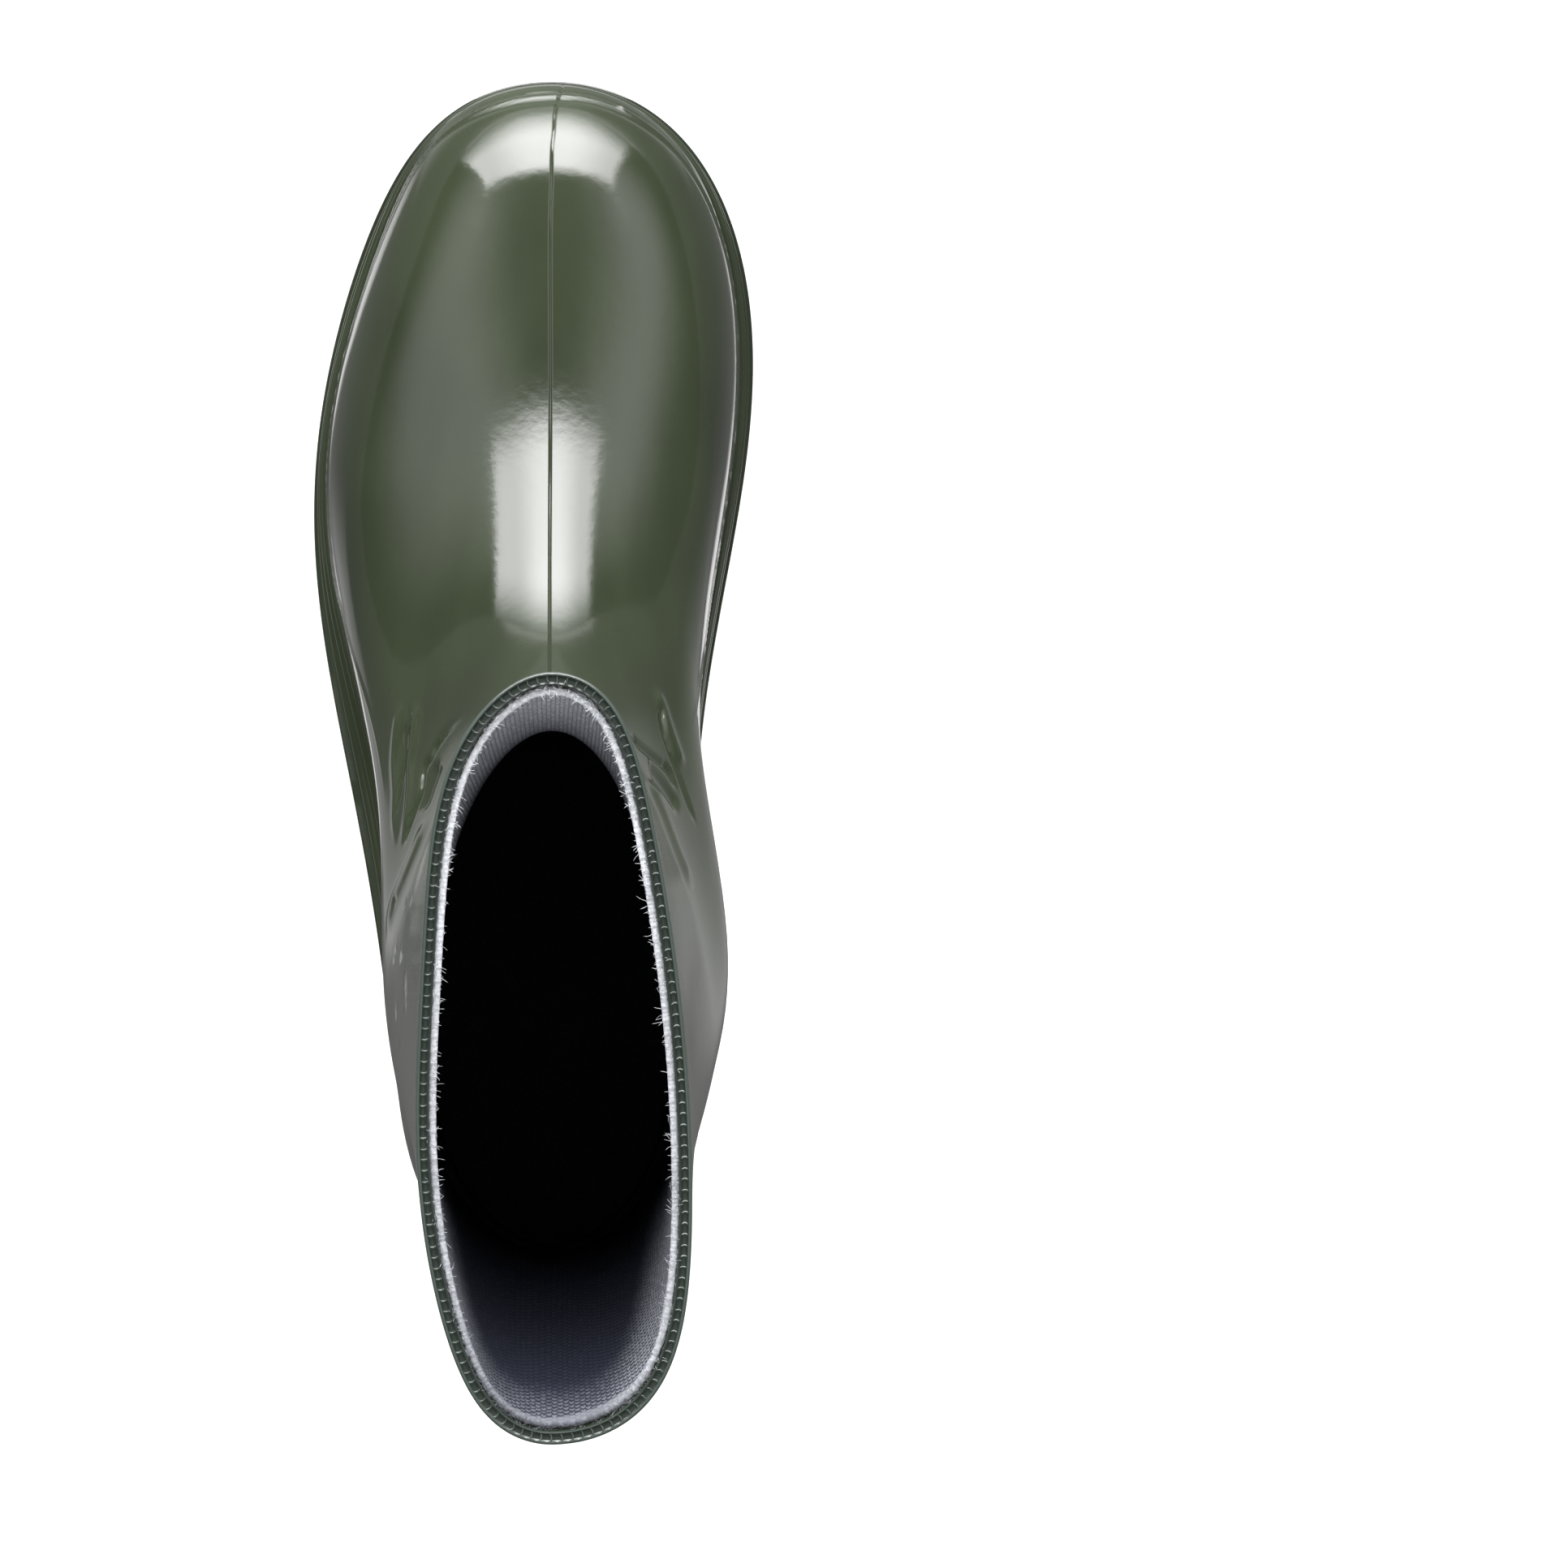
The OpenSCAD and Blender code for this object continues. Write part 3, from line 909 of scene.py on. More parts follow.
MARKS = (
    Mark(PARTING_LINE, 0.28 * MM, -0.3 * MM, fade=0.0),
    Mark(((1.5, 0), (10, 0), (25, 0), (40.9, 0)), 0.28 * MM, -0.3 * MM, fade=0.0),
    # the sole's edge: bead, groove and outer lip
    Mark(EDGE_BEAD, 0.7 * MM, 0.42 * MM, fade=0.08),
    Mark(beside(EDGE_BEAD[6:-4], 0.5), 0.5 * MM, -0.25 * MM, fade=0.06),
    Mark(beside(EDGE_BEAD[6:-4], -0.6), 0.6 * MM, -0.4 * MM, fade=0.06),
    Mark(beside(EDGE_BEAD[6:-4], -1.25), 0.7 * MM, 0.3 * MM, fade=0.06),
    # the toe's crown
    Mark(((8.7, 207), (9.3, 196), (9.75, 186), (9.8, 176), (9.3, 165.5), (8.6, 155)), 8 * MM, 0.4 * MM),
    # lateral ankle
    Mark(((17.2, 250.5), (17.4, 252.5), (17.5, 254.5), (17.9, 257), (18.9, 258), (19.7, 259.5), (21, 260)),
         1.5 * MM, 0.6 * MM),
    Mark(((18.9, 244), (19.2, 245.5), (19.8, 247), (20.1, 249), (21, 250.5), (21.7, 253), (21.8, 257.5)),
         1.3 * MM, 0.65 * MM),
    Mark(((18.5, 247), (18.8, 248), (18.6, 250.5), (19.1, 252), (19.5, 254.5), (19.7, 258), (20.4, 260)),
         0.6 * MM, -0.45 * MM),
    Mark(((24.1, 219), (22.5, 234.5), (22.2, 239.5), (21.9, 243), (22.5, 244.5), (22.5, 247.5), (22.3, 252.5),
          (22.3, 256)), 1.0 * MM, -1.0 * MM),
    Mark(((23.5, 234.5), (23.6, 240), (23.9, 244)), 2.4 * MM, -1.0 * MM),
    Mark(((25.2, 240), (25.0, 248), (24.2, 256), (23.0, 264), (22.0, 272)), 3.2 * MM, 0.7 * MM),
    Mark(((31.6, 262), (33.3, 267.5), (33.9, 274)), 1.2 * MM, 0.35 * MM),
    # medial ankle
    Mark(((25.4, 141), (25.2, 137), (23.8, 127.5), (22.75, 120.5), (22.1, 113)), 1.0 * MM, -0.8 * MM),
    Mark(((20.0, 122), (20.9, 123), (21.3, 121), (21.3, 119.5), (21.4, 115), (21.4, 108.5), (21.3, 104)),
         0.8 * MM, -0.6 * MM),
    Mark(((22.7, 122), (22.06, 116)), 0.7 * MM, -0.5 * MM),
    Mark(((25.2, 131), (24.0, 122), (23.0, 113)), 2.4 * MM, -0.9 * MM),
    Mark(((26.6, 133), (26.4, 124), (26.6, 116), (26.2, 106)), 3.4 * MM, 1.2 * MM),
    Mark(((20.4, 126), (20.5, 118), (20.4, 111)), 1.6 * MM, 0.8 * MM),
    # small dents above the lateral ankle
    *(Mark((spot,), 1.1 * MM, -0.4 * MM) for spot in (
        (23.65, 261.5), (26.55, 255), (28.35, 252), (26.4, 266), (29.3, 262.5), (33.2, 258.5), (29.45, 273),
        (35.8, 266), (31.5, 276.5))),
    # moulding nubs on the toe
    Mark(((5.67, 166),), 0.7 * MM, 0.5 * MM),
    Mark(((5.88, 185.5),), 0.4 * MM, 0.25 * MM),
)


@dataclass
class Upper:
    """The moulded upper: one wall from the feather edge to the rim, and the rolled band on the rim."""

    last: Last
    wall: float = 2.4 * MM
    floor_row: float = 0.5
    top_row: float = 40.85
    cell_pitch: float = 2.0 * MM
    marks: tuple[Mark, ...] = MARKS

    def turns(self) -> Array:
        """Spaces the wall's columns, close at the parting lines and over the ankle's creases."""
        half = np.concatenate([np.arange(0, 3, 0.35), np.arange(3, 89, 2.0), np.arange(89, 101, 0.36),
                               np.arange(101, 144, 0.6), np.arange(144, 175, 1.3), np.arange(175, 180, 0.25),
                               [180.0]])
        return np.concatenate([half, 360 - half[-2:0:-1]])

    def rows(self) -> Array:
        """Spaces the wall's rows, close over the ankle's creases."""
        return np.concatenate([np.arange(0, 1.2, 0.3), np.arange(1.2, 7.2, 0.13), np.arange(7.2, 15, 0.3),
                               np.arange(15, 28, 0.18), np.arange(28, 40.8, 0.45), [self.top_row]])

    def skin(self) -> tuple[Array, Array]:
        """Gives the outer skin's points and outward directions, with every mark on it."""
        rows, turns = self.rows(), self.turns()
        points, normals = self.last.grid(rows, turns), self.last.normals(rows, turns)
        flat, directions = points.reshape(-1, 3), normals.reshape(-1, 3)
        moves = sum(mark.rise(self.last, flat) for mark in self.marks)
        return (flat + moves[:, None] * directions).reshape(points.shape), normals

    def build_wall(self) -> bpy.types.Object:
        """Builds the wall as one closed shell with a floor."""
        outer, normals = self.skin()
        inner_rows = np.linspace(self.top_row, self.floor_row, 44)
        inward = -self.wall * self.last.normals(inner_rows, self.turns())
        inner = self.last.grid(inner_rows, self.turns()) + inward
        centre = self.last.centre
        shell = np.concatenate([on_spine(outer[:1], centre), outer, inner, on_spine(inner[-1:], centre)])
        return mesh_object("upper_wall", [grid_mesh("upper_wall", closed_rows(shell))])

    def build_rim(self) -> bpy.types.Object:
        """Builds the rim's rolled band, whose top is pressed into small cells."""
        fine = np.linspace(0, 360, 721)[:-1]
        ring = self.last.grid(np.array([self.last.top]), fine)[0]
        lengths = np.linalg.norm(np.roll(ring, -1, 0) - ring, axis=1)
        run = np.concatenate([[0], np.cumsum(lengths)])
        cells = round(run[-1] / self.cell_pitch)
        per_cell = 6
        even = np.arange(cells * per_cell) / (cells * per_cell)
        turns = np.interp(even * run[-1], run, np.append(fine, 360))
        phase = np.tile(np.arange(per_cell) / per_cell, cells)
        top = self.last.grid(np.array([self.last.top]), turns)[0]
        along = unit(np.roll(top, -1, 0) - np.roll(top, 1, 0))
        inward = unit(np.cross(np.array([0, 0, 1.0]), along))
        tick = np.exp(-((np.minimum(phase, 1 - phase) / 0.17) ** 2))
        # across the band from its outer foot: distance inwards, depth below the rim, share of the tick
        profile = [(0.0, 1.5, 0), (-0.02, 0.7, 0), (0.05, 0.3, 0), (0.28, 0.06, 0), (0.55, 0.02, 0),
                   (0.75, 0.2, 0.4), (1.0, 0.3, 1), (1.35, 0.33, 1), (1.7, 0.3, 1), (1.95, 0.2, 0.5),
                   (2.15, 0.12, 0), (2.33, 0.3, 0), (2.4, 0.7, 0), (2.4, 1.5, 0)]
        rows = []
        for inset, depth, share in profile:
            ring = top + inward * inset * MM
            ring[:, 2] += (-depth + share * 0.1 * tick) * MM
            rows.append(ring)
        band = closed_rows(np.array(rows + [rows[0]]))
        count = np.arange(cells * per_cell + 1) / per_cell
        insets = [inset for inset, _, _ in profile] + [profile[0][0]]
        weave = np.array([np.column_stack([count, np.full(len(count), inset)]) for inset in insets])
        return mesh_object("upper_rim", [grid_mesh("upper_rim", band, weave)], 50)


@dataclass
class Welt:
    """The band that joins the upper to the sole, with an outer lip, a groove and an inner bead."""

    last: Last
    outline: Outline
    ledge: float = 2.2 * MM
    edge: float = 1.2 * MM

    def build(self) -> bpy.types.Object:
        """Builds the band as a closed ring."""
        turns = full_circle(480)
        foot = self.outline.at(turns, self.ledge)
        foot = np.column_stack([foot, self.last.bed_height(foot[:, 1])])
        skin = self.last.grid(np.linspace(0, 1, 9), turns)
        top, out = skin[-1], self.last.normals(np.array([1.0]), turns)[0]
        edge = top + out * self.edge
        # share of the way up the face, and how far the face stands out from the straight line
        profile = [(0.0, 0.0), (0.03, 0.45), (0.1, 0.85), (0.2, 1.25), (0.3, 1.45), (0.38, 1.3), (0.44, 0.85),
                   (0.5, 0.55), (0.56, 0.6), (0.62, 0.95), (0.7, 1.15), (0.78, 0.95), (0.84, 0.5), (0.88, 0.4),
                   (0.93, 0.45), (0.98, 0.3), (1.0, 0.0)]
        face = edge - foot
        level = np.column_stack([out[:, :2], np.zeros(len(out))])
        square = unit(np.cross(face, np.cross(unit(level), face)))
        rows = [foot + share * face + square * swell * MM for share, swell in profile]
        rows += [top * 0.6 + edge * 0.4 + np.array([0, 0, 0.1 * MM]), *skin[::-1]]
        return mesh_object("welt_lip", [grid_mesh("welt_lip", closed_rows(np.array(rows + [rows[0]])))], 55)


@dataclass
class Sole:
    """The moulded sole: side wall, bed, heel block, arch and cleated tread."""

    last: Last
    outline: Outline
    heel: float = 82 * MM
    arch: float = 30 * MM
    arch_height: float = 8 * MM
    channel_depth: float = 4.5 * MM
    channel: float = 5 * MM
    pitch: float = 15 * MM
    rib: float = 12 * MM
    split: float = 26 * MM
    spring_start: float = 200 * MM
    toe_spring: float = 8 * MM
    breast_slope: float = 2 * MM
    tread_slope: float = 6 * MM

    def __post_init__(self) -> None:
        """Finds where the sole starts and how long it is."""
        self.back = float(self.outline.points[:, 1].min())
        self.length = float(self.outline.points[:, 1].max()) - self.back

    @property
    def heel_end(self) -> float:
        """Where the heel block's front meets the arch, from the heel."""
        return self.heel + self.breast_slope

    @property
    def tread_start(self) -> float:
        """Where the forefoot's tread starts to come down from the arch, from the heel."""
        return self.heel + self.arch - self.tread_slope

    @property
    def forefoot(self) -> float:
        """Where the forefoot's tread has come down, from the heel."""
        return self.heel + self.arch

    def spring(self, y: Array) -> Array:
        """Gives the ground line's height under the toe, at distances from the heel."""
        return np.maximum(0, (y - self.spring_start) / (self.length - self.spring_start)) ** 2 * self.toe_spring

    def base(self, y: Array) -> Array:
        """Gives the height of the underside between the cleats."""
        arch = smooth_step(self.heel, self.heel_end, y) * (1 - smooth_step(self.tread_start, self.forefoot, y))
        return self.spring(y) + self.channel_depth + arch * (self.arch_height - self.channel_depth)

    def body(self) -> bpy.types.Mesh:
        """Builds the sole without its cleats."""
        turns = full_circle(480)
        # share of the side wall's height, and inset
        wall = [(0.0, 0.15), (0.05, 0.0), (0.45, 0.0), (0.5, 0.25), (0.56, 0.25), (0.6, 0.0), (0.72, 0.0),
                (0.78, 0.12), (0.82, 0.0), (0.95, 0.0), (0.985, 0.12), (1.0, 0.45)]
        rows = []
        for share, inset in wall:
            ring = self.outline.at(turns, inset * MM)
            low, high = self.base(ring[:, 1] - self.back), self.last.bed_height(ring[:, 1])
            rows.append(np.column_stack([ring, low + share * (high - low)]))
        for inset in (2.0, 8.0):
            ring = self.outline.at(turns, inset * MM)
            rows.append(np.column_stack([ring, self.last.bed_height(ring[:, 1])]))
        centre = self.last.centre
        underside = self.outline.at(turns, 3 * MM)
        underside = np.column_stack([underside, self.base(underside[:, 1] - self.back)])
        rows = [on_spine(underside, centre), underside, *rows, on_spine(rows[-1], centre)]
        return grid_mesh("sole_body", closed_rows(np.array(rows)))

    def channels(self) -> tuple[Array, Array]:
        """Gives the middles of the heel's and the forefoot's channels, from the heel."""
        return (np.arange(self.pitch, self.heel - self.pitch / 2 + CLOSE, self.pitch),
                np.arange(self.forefoot + self.pitch, self.length - self.pitch + CLOSE, self.pitch))

    def is_cleat(self, x: float, y: float) -> bool:
        """Says whether a place on the underside reaches the ground.

        Args:
            x: Its distance from the centre line.
            y: Its distance from the heel.

        Returns:
            Whether it is on a cleat or a rib.
        """
        if self.heel_end < y < self.tread_start:
            return False
        if abs(x) < self.rib / 2:
            return True
        if any(np.abs(group - y).min() < self.channel / 2 for group in self.channels()):
            return False
        return not (self.forefoot < y < self.spring_start and abs(abs(x) - self.split) < self.channel / 2)

    def tread(self) -> bpy.types.Mesh:
        """Builds the cleats and the ribs between them."""
        turns = full_circle(360)
        sheet = bmesh.new()
        bmesh.ops.create_circle(sheet, segments=len(turns), cap_ends=True, radius=1.0)
        for vert, (x, y) in zip(sheet.verts, self.outline.at(turns, 0.2 * MM)):
            vert.co = (x, y, 0)
        centre, back, half = self.last.centre, self.back, self.channel / 2
        cuts = {round(float(c + d), 6) for group in self.channels() for c in group
                for d in (-half, half, self.pitch / 2 - half / 2, self.pitch / 2 + half)}
        along = sorted(cuts | {self.heel_end, self.tread_start, self.forefoot, self.spring_start})
        across = (-28.5, -23.5, -6, 6, 23.5, 28.5)
        for place in along:
            slice_mesh(sheet, (0, back + place, 0), (0, 1, 0))
        for place in across:
            slice_mesh(sheet, (centre + place * MM, 0, 0), (1, 0, 0))
        empty = [f for f in sheet.faces
                 if not self.is_cleat(f.calc_center_median().x - centre, f.calc_center_median().y - back)]
        bmesh.ops.delete(sheet, geom=empty, context="FACES")
        roots = set(sheet.verts)
        grown = bmesh.ops.extrude_face_region(sheet, geom=sheet.faces[:])["geom"]
        tips = [g for g in grown if isinstance(g, bmesh.types.BMVert)]
        faces = {g for g in grown if isinstance(g, bmesh.types.BMFace)}
        for vert in roots:
            vert.co.z = float(self.base(np.array(vert.co.y - back))) + 0.4 * MM
        for vert in tips:
            y = vert.co.y - back
            if abs(y - self.heel_end) < 10 * CLOSE:
                vert.co.y -= self.breast_slope
            if abs(y - self.tread_start) < 10 * CLOSE:
                vert.co.y += self.tread_slope
            vert.co.z = float(self.spring(np.array(vert.co.y - back)))
        edges = [e for e in sheet.edges
                 if sum(f in faces for f in e.link_faces) == 1 and len(e.link_faces) == 2]
        bmesh.ops.bevel(sheet, geom=edges, offset=0.6 * MM, segments=2, profile=0.5, affect="EDGES",
                        material=-1, clamp_overlap=True)
        bmesh.ops.recalc_face_normals(sheet, faces=sheet.faces[:])
        mesh = bpy.data.meshes.new("tread")
        sheet.to_mesh(mesh)
        sheet.free()
        return mesh

    def build(self) -> bpy.types.Object:
        """Builds the whole sole."""
        return mesh_object("cleated_sole", [self.body(), self.tread()], 35)


@dataclass
class Lining:
    """The knitted tube inside the upper, and the loose fibres along its raised edge."""

    last: Last
    outside: float = 2.45 * MM
    thickness: float = 1.35 * MM
    top_row: float = 40.82
    foot_row: float = 1.02
    column_pitch: float = 1.25 * MM
    loop_pitch: float = 2.4 * MM
    fibres: int = 1700

    def build_tube(self) -> bpy.types.Object:
        """Builds the tube as a closed wall with a round top edge."""
        turns = np.arange(0, 360, 0.75)
        rows = np.concatenate([np.linspace(self.foot_row, 30, 48), np.linspace(30.3, self.top_row, 30)])
        skin, normals = self.last.grid(rows, turns), self.last.normals(rows, turns)
        outer = skin - normals * self.outside
        inner = (skin - normals * (self.outside + self.thickness))[::-1]
        lip = []
        for angle in np.radians([30, 60, 90, 120, 150]):
            depth = self.outside + self.thickness * (1 - math.cos(angle)) / 2
            ring = skin[-1] - normals[-1] * depth
            ring[:, 2] += 0.5 * MM * math.sin(angle)
            lip.append(ring)
        wall = np.concatenate([outer, np.array(lip), inner, outer[:1]])
        ring = self.last.grid(np.array([self.top_row]), turns)[0]
        run = np.concatenate([[0], np.cumsum(np.linalg.norm(np.roll(ring, -1, 0) - ring, axis=1))])
        columns = round(run[-1] / self.column_pitch)
        wall = closed_rows(wall)
        weave = np.zeros(wall.shape[:2] + (2,))
        weave[..., 0] = run / run[-1] * columns
        weave[..., 1] = wall[..., 2] / self.loop_pitch
        return mesh_object("lining_knit", [grid_mesh("lining_knit", wall, weave)], 60)

    def build_fuzz(self) -> bpy.types.Object:
        """Builds the loose fibres, each a bent thread with three sides."""
        draw = np.random.default_rng(7)
        count, joints = self.fibres, 6
        turns = np.sort(draw.uniform(0, 360, count))
        rim = self.last.grid(np.array([self.last.top]), np.concatenate([turns, turns + 0.5]))[0]
        along = unit(rim[count:] - rim[:count])
        up = np.array([0, 0, 1.0])
        inward = np.cross(up, along)
        spot = rim[:count] + inward * draw.uniform(2.5, 3.6, (count, 1)) * MM - up * 1.3 * MM
        course = unit(up + along * draw.normal(0, 0.7, (count, 1)) + inward * draw.normal(0, 0.8, (count, 1)))
        bend = inward * draw.normal(0.1, 0.8, (count, 1)) + along * draw.normal(0, 0.8, (count, 1))
        bend = unit(bend - up * 0.9)
        length = draw.uniform(0.9, 2.4, (count, 1)) * MM
        thick = draw.uniform(0.025, 0.045, (count, 1)) * MM
        rows = []
        for k in range(joints):
            if k:
                course = unit(course + bend * 0.3)
                spot = spot + course * length / (joints - 1)
            side = unit(np.cross(course, along + 0.3 * inward))
            other = np.cross(course, side)
            width = thick * (0.0 if k in (0, joints - 1) else 1.0)
            rows.append(np.stack([spot + width * (math.cos(a) * side + math.sin(a) * other)
                                  for a in np.radians([0, 120, 240, 360])], 1))
        strands = np.stack(rows, 1).reshape(count * joints, 4, 3)
        return mesh_object("lining_fuzz", [grid_mesh("lining_fuzz", strands, strands=count)], 180)


@dataclass
class Footbed:
    """The loose footbed: a foam slab with rounded edges under a thin cloth cover."""

    foam_edge: float = 1.2 * MM
    cover_edge: float = 0.3 * MM

    def build_layer(self, name: str, node: str, edge: float) -> bpy.types.Object:
        """Builds one layer from its CAD solid.

        Args:
            name: The layer's name.
            node: Its CAD node.
            edge: How much its edge is rounded.

        Returns:
            The layer.
        """
        layer = merged_copy(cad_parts[node])
        bmesh.ops.join_triangles(layer, faces=layer.faces[:], angle_face_threshold=math.radians(30),
                                 angle_shape_threshold=math.radians(60))
        rims = [e for e in layer.edges if len(e.link_faces) == 2 and e.calc_face_angle() > math.radians(50)]
        bmesh.ops.bevel(layer, geom=rims, offset=edge, segments=3, profile=0.5, affect="EDGES", material=-1)
        bmesh.ops.recalc_face_normals(layer, faces=layer.faces[:])
        mesh = bpy.data.meshes.new(name)
        layer.to_mesh(mesh)
        layer.free()
        piece = mesh_object(name, [mesh], 60)
        smooth = piece.modifiers.new("smooth", "SUBSURF")
        smooth.levels = smooth.render_levels = 1
        return piece


@dataclass(frozen=True)
class Glow:
    """A soft pale patch on the table that the gloss reflects."""

    level: float
    across: Window
    along: Window


# The medial side far off, beside the shaft, beside the waist, and ahead of the toe
TABLE_GLOWS = (
    Glow(0.3, Window(0.055, 0.075, 0.5, 0.9), Window(-0.4, -0.2, 0.0, 0.06)),
    Glow(0.16, Window(-0.5, -0.3, -0.07, -0.05), Window(-0.2, -0.14, -0.065, -0.042)),
    Glow(0.35, Window(-0.12, -0.1, -0.065, -0.058), Window(-0.14, -0.1, 0.02, 0.06)),
    Glow(0.4, Window(-0.1, -0.05, 0.05, 0.1), Window(0.14, 0.15, 0.4, 0.8)),
)


@dataclass
class Studio:
    """The camera, floor, soft lights and backdrop."""

    camera_height: float = 1.058
    camera_aside: float = 4.36 * MM
    camera_back: float = 22.8 * MM
    focal: float = 101.2
    sensor: float = 36.0
    shift: float = 0.148
    key: float = 18.5
    glow: float = 2.3
    top: float = 0.5
    room: float = 0.07
    strip_level: float = 1.0
    beyond_level: float = 2.2
    table_level: float = 0.05
    fill_size: float = 0.25
    fill_power: float = 10.0
    fill_place: tuple[float, float, float] = (0.0, -0.9, 0.95)
    fill_target: tuple[float, float, float] = (0.0, -0.07, 0.2)

    def aim(self, middle: Vector) -> None:
        """Hangs the camera over the boot, looking straight down with the toe at the top.

        Args:
            middle: The middle of the boot's box.
        """
        lens = bpy.data.cameras.new("overhead")
        lens.lens, lens.sensor_width, lens.shift_x = self.focal, self.sensor, self.shift
        camera = bpy.data.objects.new("overhead", lens)
        camera.location = (middle.x + self.camera_aside, middle.y - self.camera_back, self.camera_height)
        bpy.context.scene.collection.objects.link(camera)
        bpy.context.scene.camera = camera

    def plane(self, name: str, height: float) -> tuple[bpy.types.Object, Shader]:
        """Lays a wide level plane that glows and isn't part of the boot.

        Args:
            name: The plane's name, and its material's.
            height: Its height.

        Returns:
            The plane and its material.
        """
        sheet = bmesh.new()
        bmesh.ops.create_grid(sheet, x_segments=1, y_segments=1, size=8.0)
        bmesh.ops.translate(sheet, verts=sheet.verts[:], vec=(0, 0, height))
        mesh = bpy.data.meshes.new(name)
        sheet.to_mesh(mesh)
        sheet.free()
        plane = bpy.data.objects.new(name, mesh)
        bpy.context.scene.collection.objects.link(plane)
        shader = Shader(name)
        plane.data.materials.append(shader.material)
        return plane, shader

    def floor(self) -> None:
        """Lays the pale floor that is looked at, and the dimmer one that the gloss reflects."""
        seen, shader = self.plane("pale_table", -0.2 * MM)
        shader.dress(Base_Color=(0.3, 0.3, 0.3, 1), Roughness=0.9, Emission_Color=(1, 1, 1, 1),
                     Emission_Strength=0.92)
        seen.visible_glossy = seen.visible_diffuse = seen.visible_shadow = False
        bounced, shader = self.plane("table_bounce", -0.4 * MM)
        x, y, _ = shader.parts(shader.place())
        # thin strips close beside the foot, and the table far beyond the toe
        strips = Window(0.044, 0.047, 0.054, 0.06).over(abs(x)) * Window(-0.05, -0.02, 0.12, 0.15).over(y)
        beyond = y.between(0.3, 2.4) * Window(-0.9, -0.7, 0.7, 0.9).over(x / y.maths("MAXIMUM", 0.1))
        level = strips * self.strip_level + beyond * self.beyond_level + self.table_level
        for glow in TABLE_GLOWS:
            level = level + glow.across.over(x) * glow.along.over(y) * glow.level
        shader.dress(Base_Color=(0.05, 0.05, 0.05, 1), Roughness=0.9, Emission_Strength=1.0,
                     Emission_Color=shader.mix(level * 0.4, (0, 0, 0, 1), (2.5, 2.5, 2.5, 1)))
        bounced.visible_camera = False

    def fill(self) -> None:
        """Hangs the fill light over the shaft, which the gloss doesn't show."""
        light = bpy.data.lights.new("shaft_fill", "AREA")
        light.shape, light.size, light.energy = "SQUARE", self.fill_size, self.fill_power
        lamp = bpy.data.objects.new("shaft_fill", light)
        place = Vector(self.fill_place)
        lamp.location = place
        lamp.rotation_euler = (place - Vector(self.fill_target)).to_track_quat("Z", "Y").to_euler()
        lamp.visible_camera = lamp.visible_glossy = False
        bpy.context.scene.collection.objects.link(lamp)

    def surroundings(self) -> None:
        """Lights the room: one large softbox beyond the toe, dim wings beside it, and a pale backdrop."""
        world = bpy.data.worlds.new("studio")
        bpy.context.scene.world = world
        world.use_nodes = True
        board = Board(world.node_tree)
        x, y, z = board.parts(board.node("ShaderNodeTexCoord"))
        side, rise = x.maths("ARCTAN2", y) * IN_DEGREES, z.maths("ARCSINE") * IN_DEGREES
        # the softbox is a flat, upright panel: these are places on it, where 1 is as far out as it is away
        ahead = y.maths("MAXIMUM", 0.001)
        width, height = x / ahead, z / ahead
        left = width + (1 - height) * 0.16
        across = left.between(-0.84, -0.76) * width.between(0.62, 0.8, 1, 0)
        across = across * width.between(-0.6, -0.1, 0.6, 1.0) * width.between(0.1, 0.6, 1.0, 0.55)
        up = height.between(-0.1, 0.42) * (height + width * width * 0.1).between(1.06, 1.36, 1.0, 0.0)
        wings = Window(-78, -56, 46, 74).over(side) * Window(6, 44, 46, 72).over(rise)
        wings = wings * abs(side).between(8, 46) * side.between(-60, 20, 0.8, 1.0)
        over = rise.between(66, 76)
        level = across * up * self.key + wings * self.glow + over * self.top + self.room
        light = board.mix(board.node("ShaderNodeLightPath", output="Is Camera Ray"),
                          board.mix(level * 0.04, (0, 0, 0, 1), (25, 25, 25, 1)), (0.95, 0.95, 0.95, 1))
        board.feed(world.node_tree.nodes["Background"].inputs["Color"], light)

    def build(self) -> None:
        """Sets the whole scene round the boot."""
        low, high = CAD_BOX
        self.aim((low + high) / 2)
        self.floor()
        self.fill()
        self.surroundings()
        bpy.context.scene.view_settings.view_transform = "Standard"


# The CAD nodes that keep their own shape, inside the boot
HIDDEN = {"heel_cores": Finish.CORE, "arch_shank": Finish.SHANK, "lasting_board": Finish.BOARD,
          "lining_bottom": Finish.KNIT, "lining_seam": Finish.SEAM}


def dress_hidden(wardrobe: Wardrobe) -> None:
    """Puts finishes on the hidden pieces.

    Args:
        wardrobe: Where the finishes are made.
    """
    for node, finish in HIDDEN.items():
        wardrobe.dress(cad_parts[node], finish)
        LOG.info("%s: CAD shape, %s", node, finish.value)


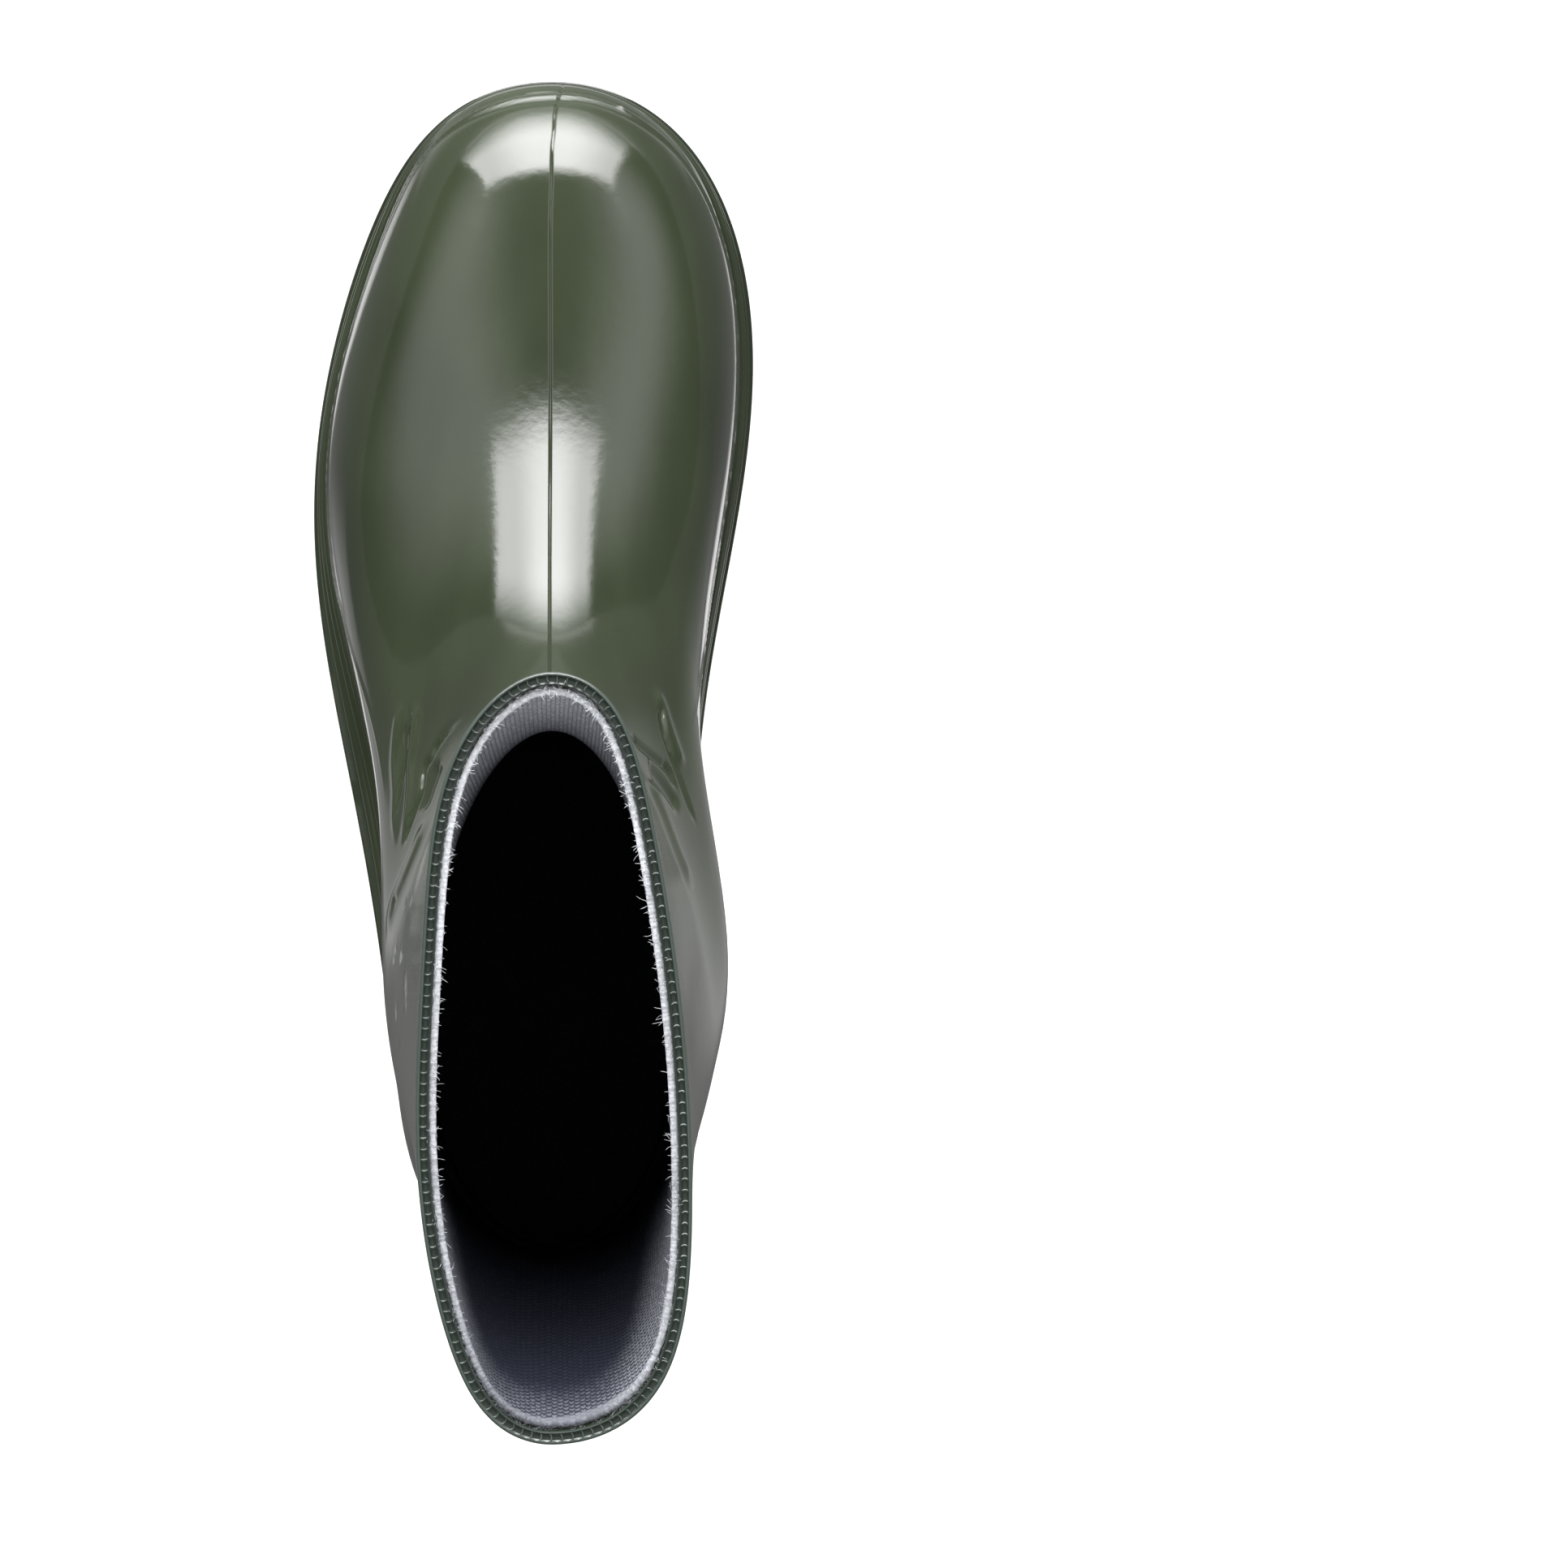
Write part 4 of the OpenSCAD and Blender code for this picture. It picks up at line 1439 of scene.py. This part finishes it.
def main() -> None:
    """Builds the boot's pieces in order and then the studio."""
    logging.basicConfig(level=logging.INFO, format="%(message)s")
    wardrobe = Wardrobe()
    last = Last.from_node(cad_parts["upper_shell"])
    outline = Outline.from_node(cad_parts["outsole"], 0.9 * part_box("heel_cores")[0].z)
    LOG.info("last: %d rings, outline: %d points", len(last.rings), len(outline.points))
    Studio().build()
    upper = Upper(last)
    wardrobe.fit(upper.build_wall(), Finish.UPPER, "upper_shell")
    wardrobe.fit(upper.build_rim(), Finish.RIM, "upper_shell")
    wardrobe.fit(Welt(last, outline).build(), Finish.UPPER, "welt_band")
    wardrobe.fit(Sole(last, outline).build(), Finish.SOLE, "outsole")
    lining = Lining(last)
    wardrobe.fit(lining.build_tube(), Finish.KNIT, "lining_tube")
    wardrobe.fit(lining.build_fuzz(), Finish.KNIT, "lining_tube")
    footbed = Footbed()
    foam = wardrobe.fit(footbed.build_layer("footbed_pad", "footbed_foam", footbed.foam_edge), Finish.FOAM,
                        "footbed_foam")
    wardrobe.fit(footbed.build_layer("footbed_top", "footbed_cover", footbed.cover_edge), Finish.COVER,
                 "footbed_cover")
    dress_hidden(wardrobe)


if __name__ == "__main__":
    main()
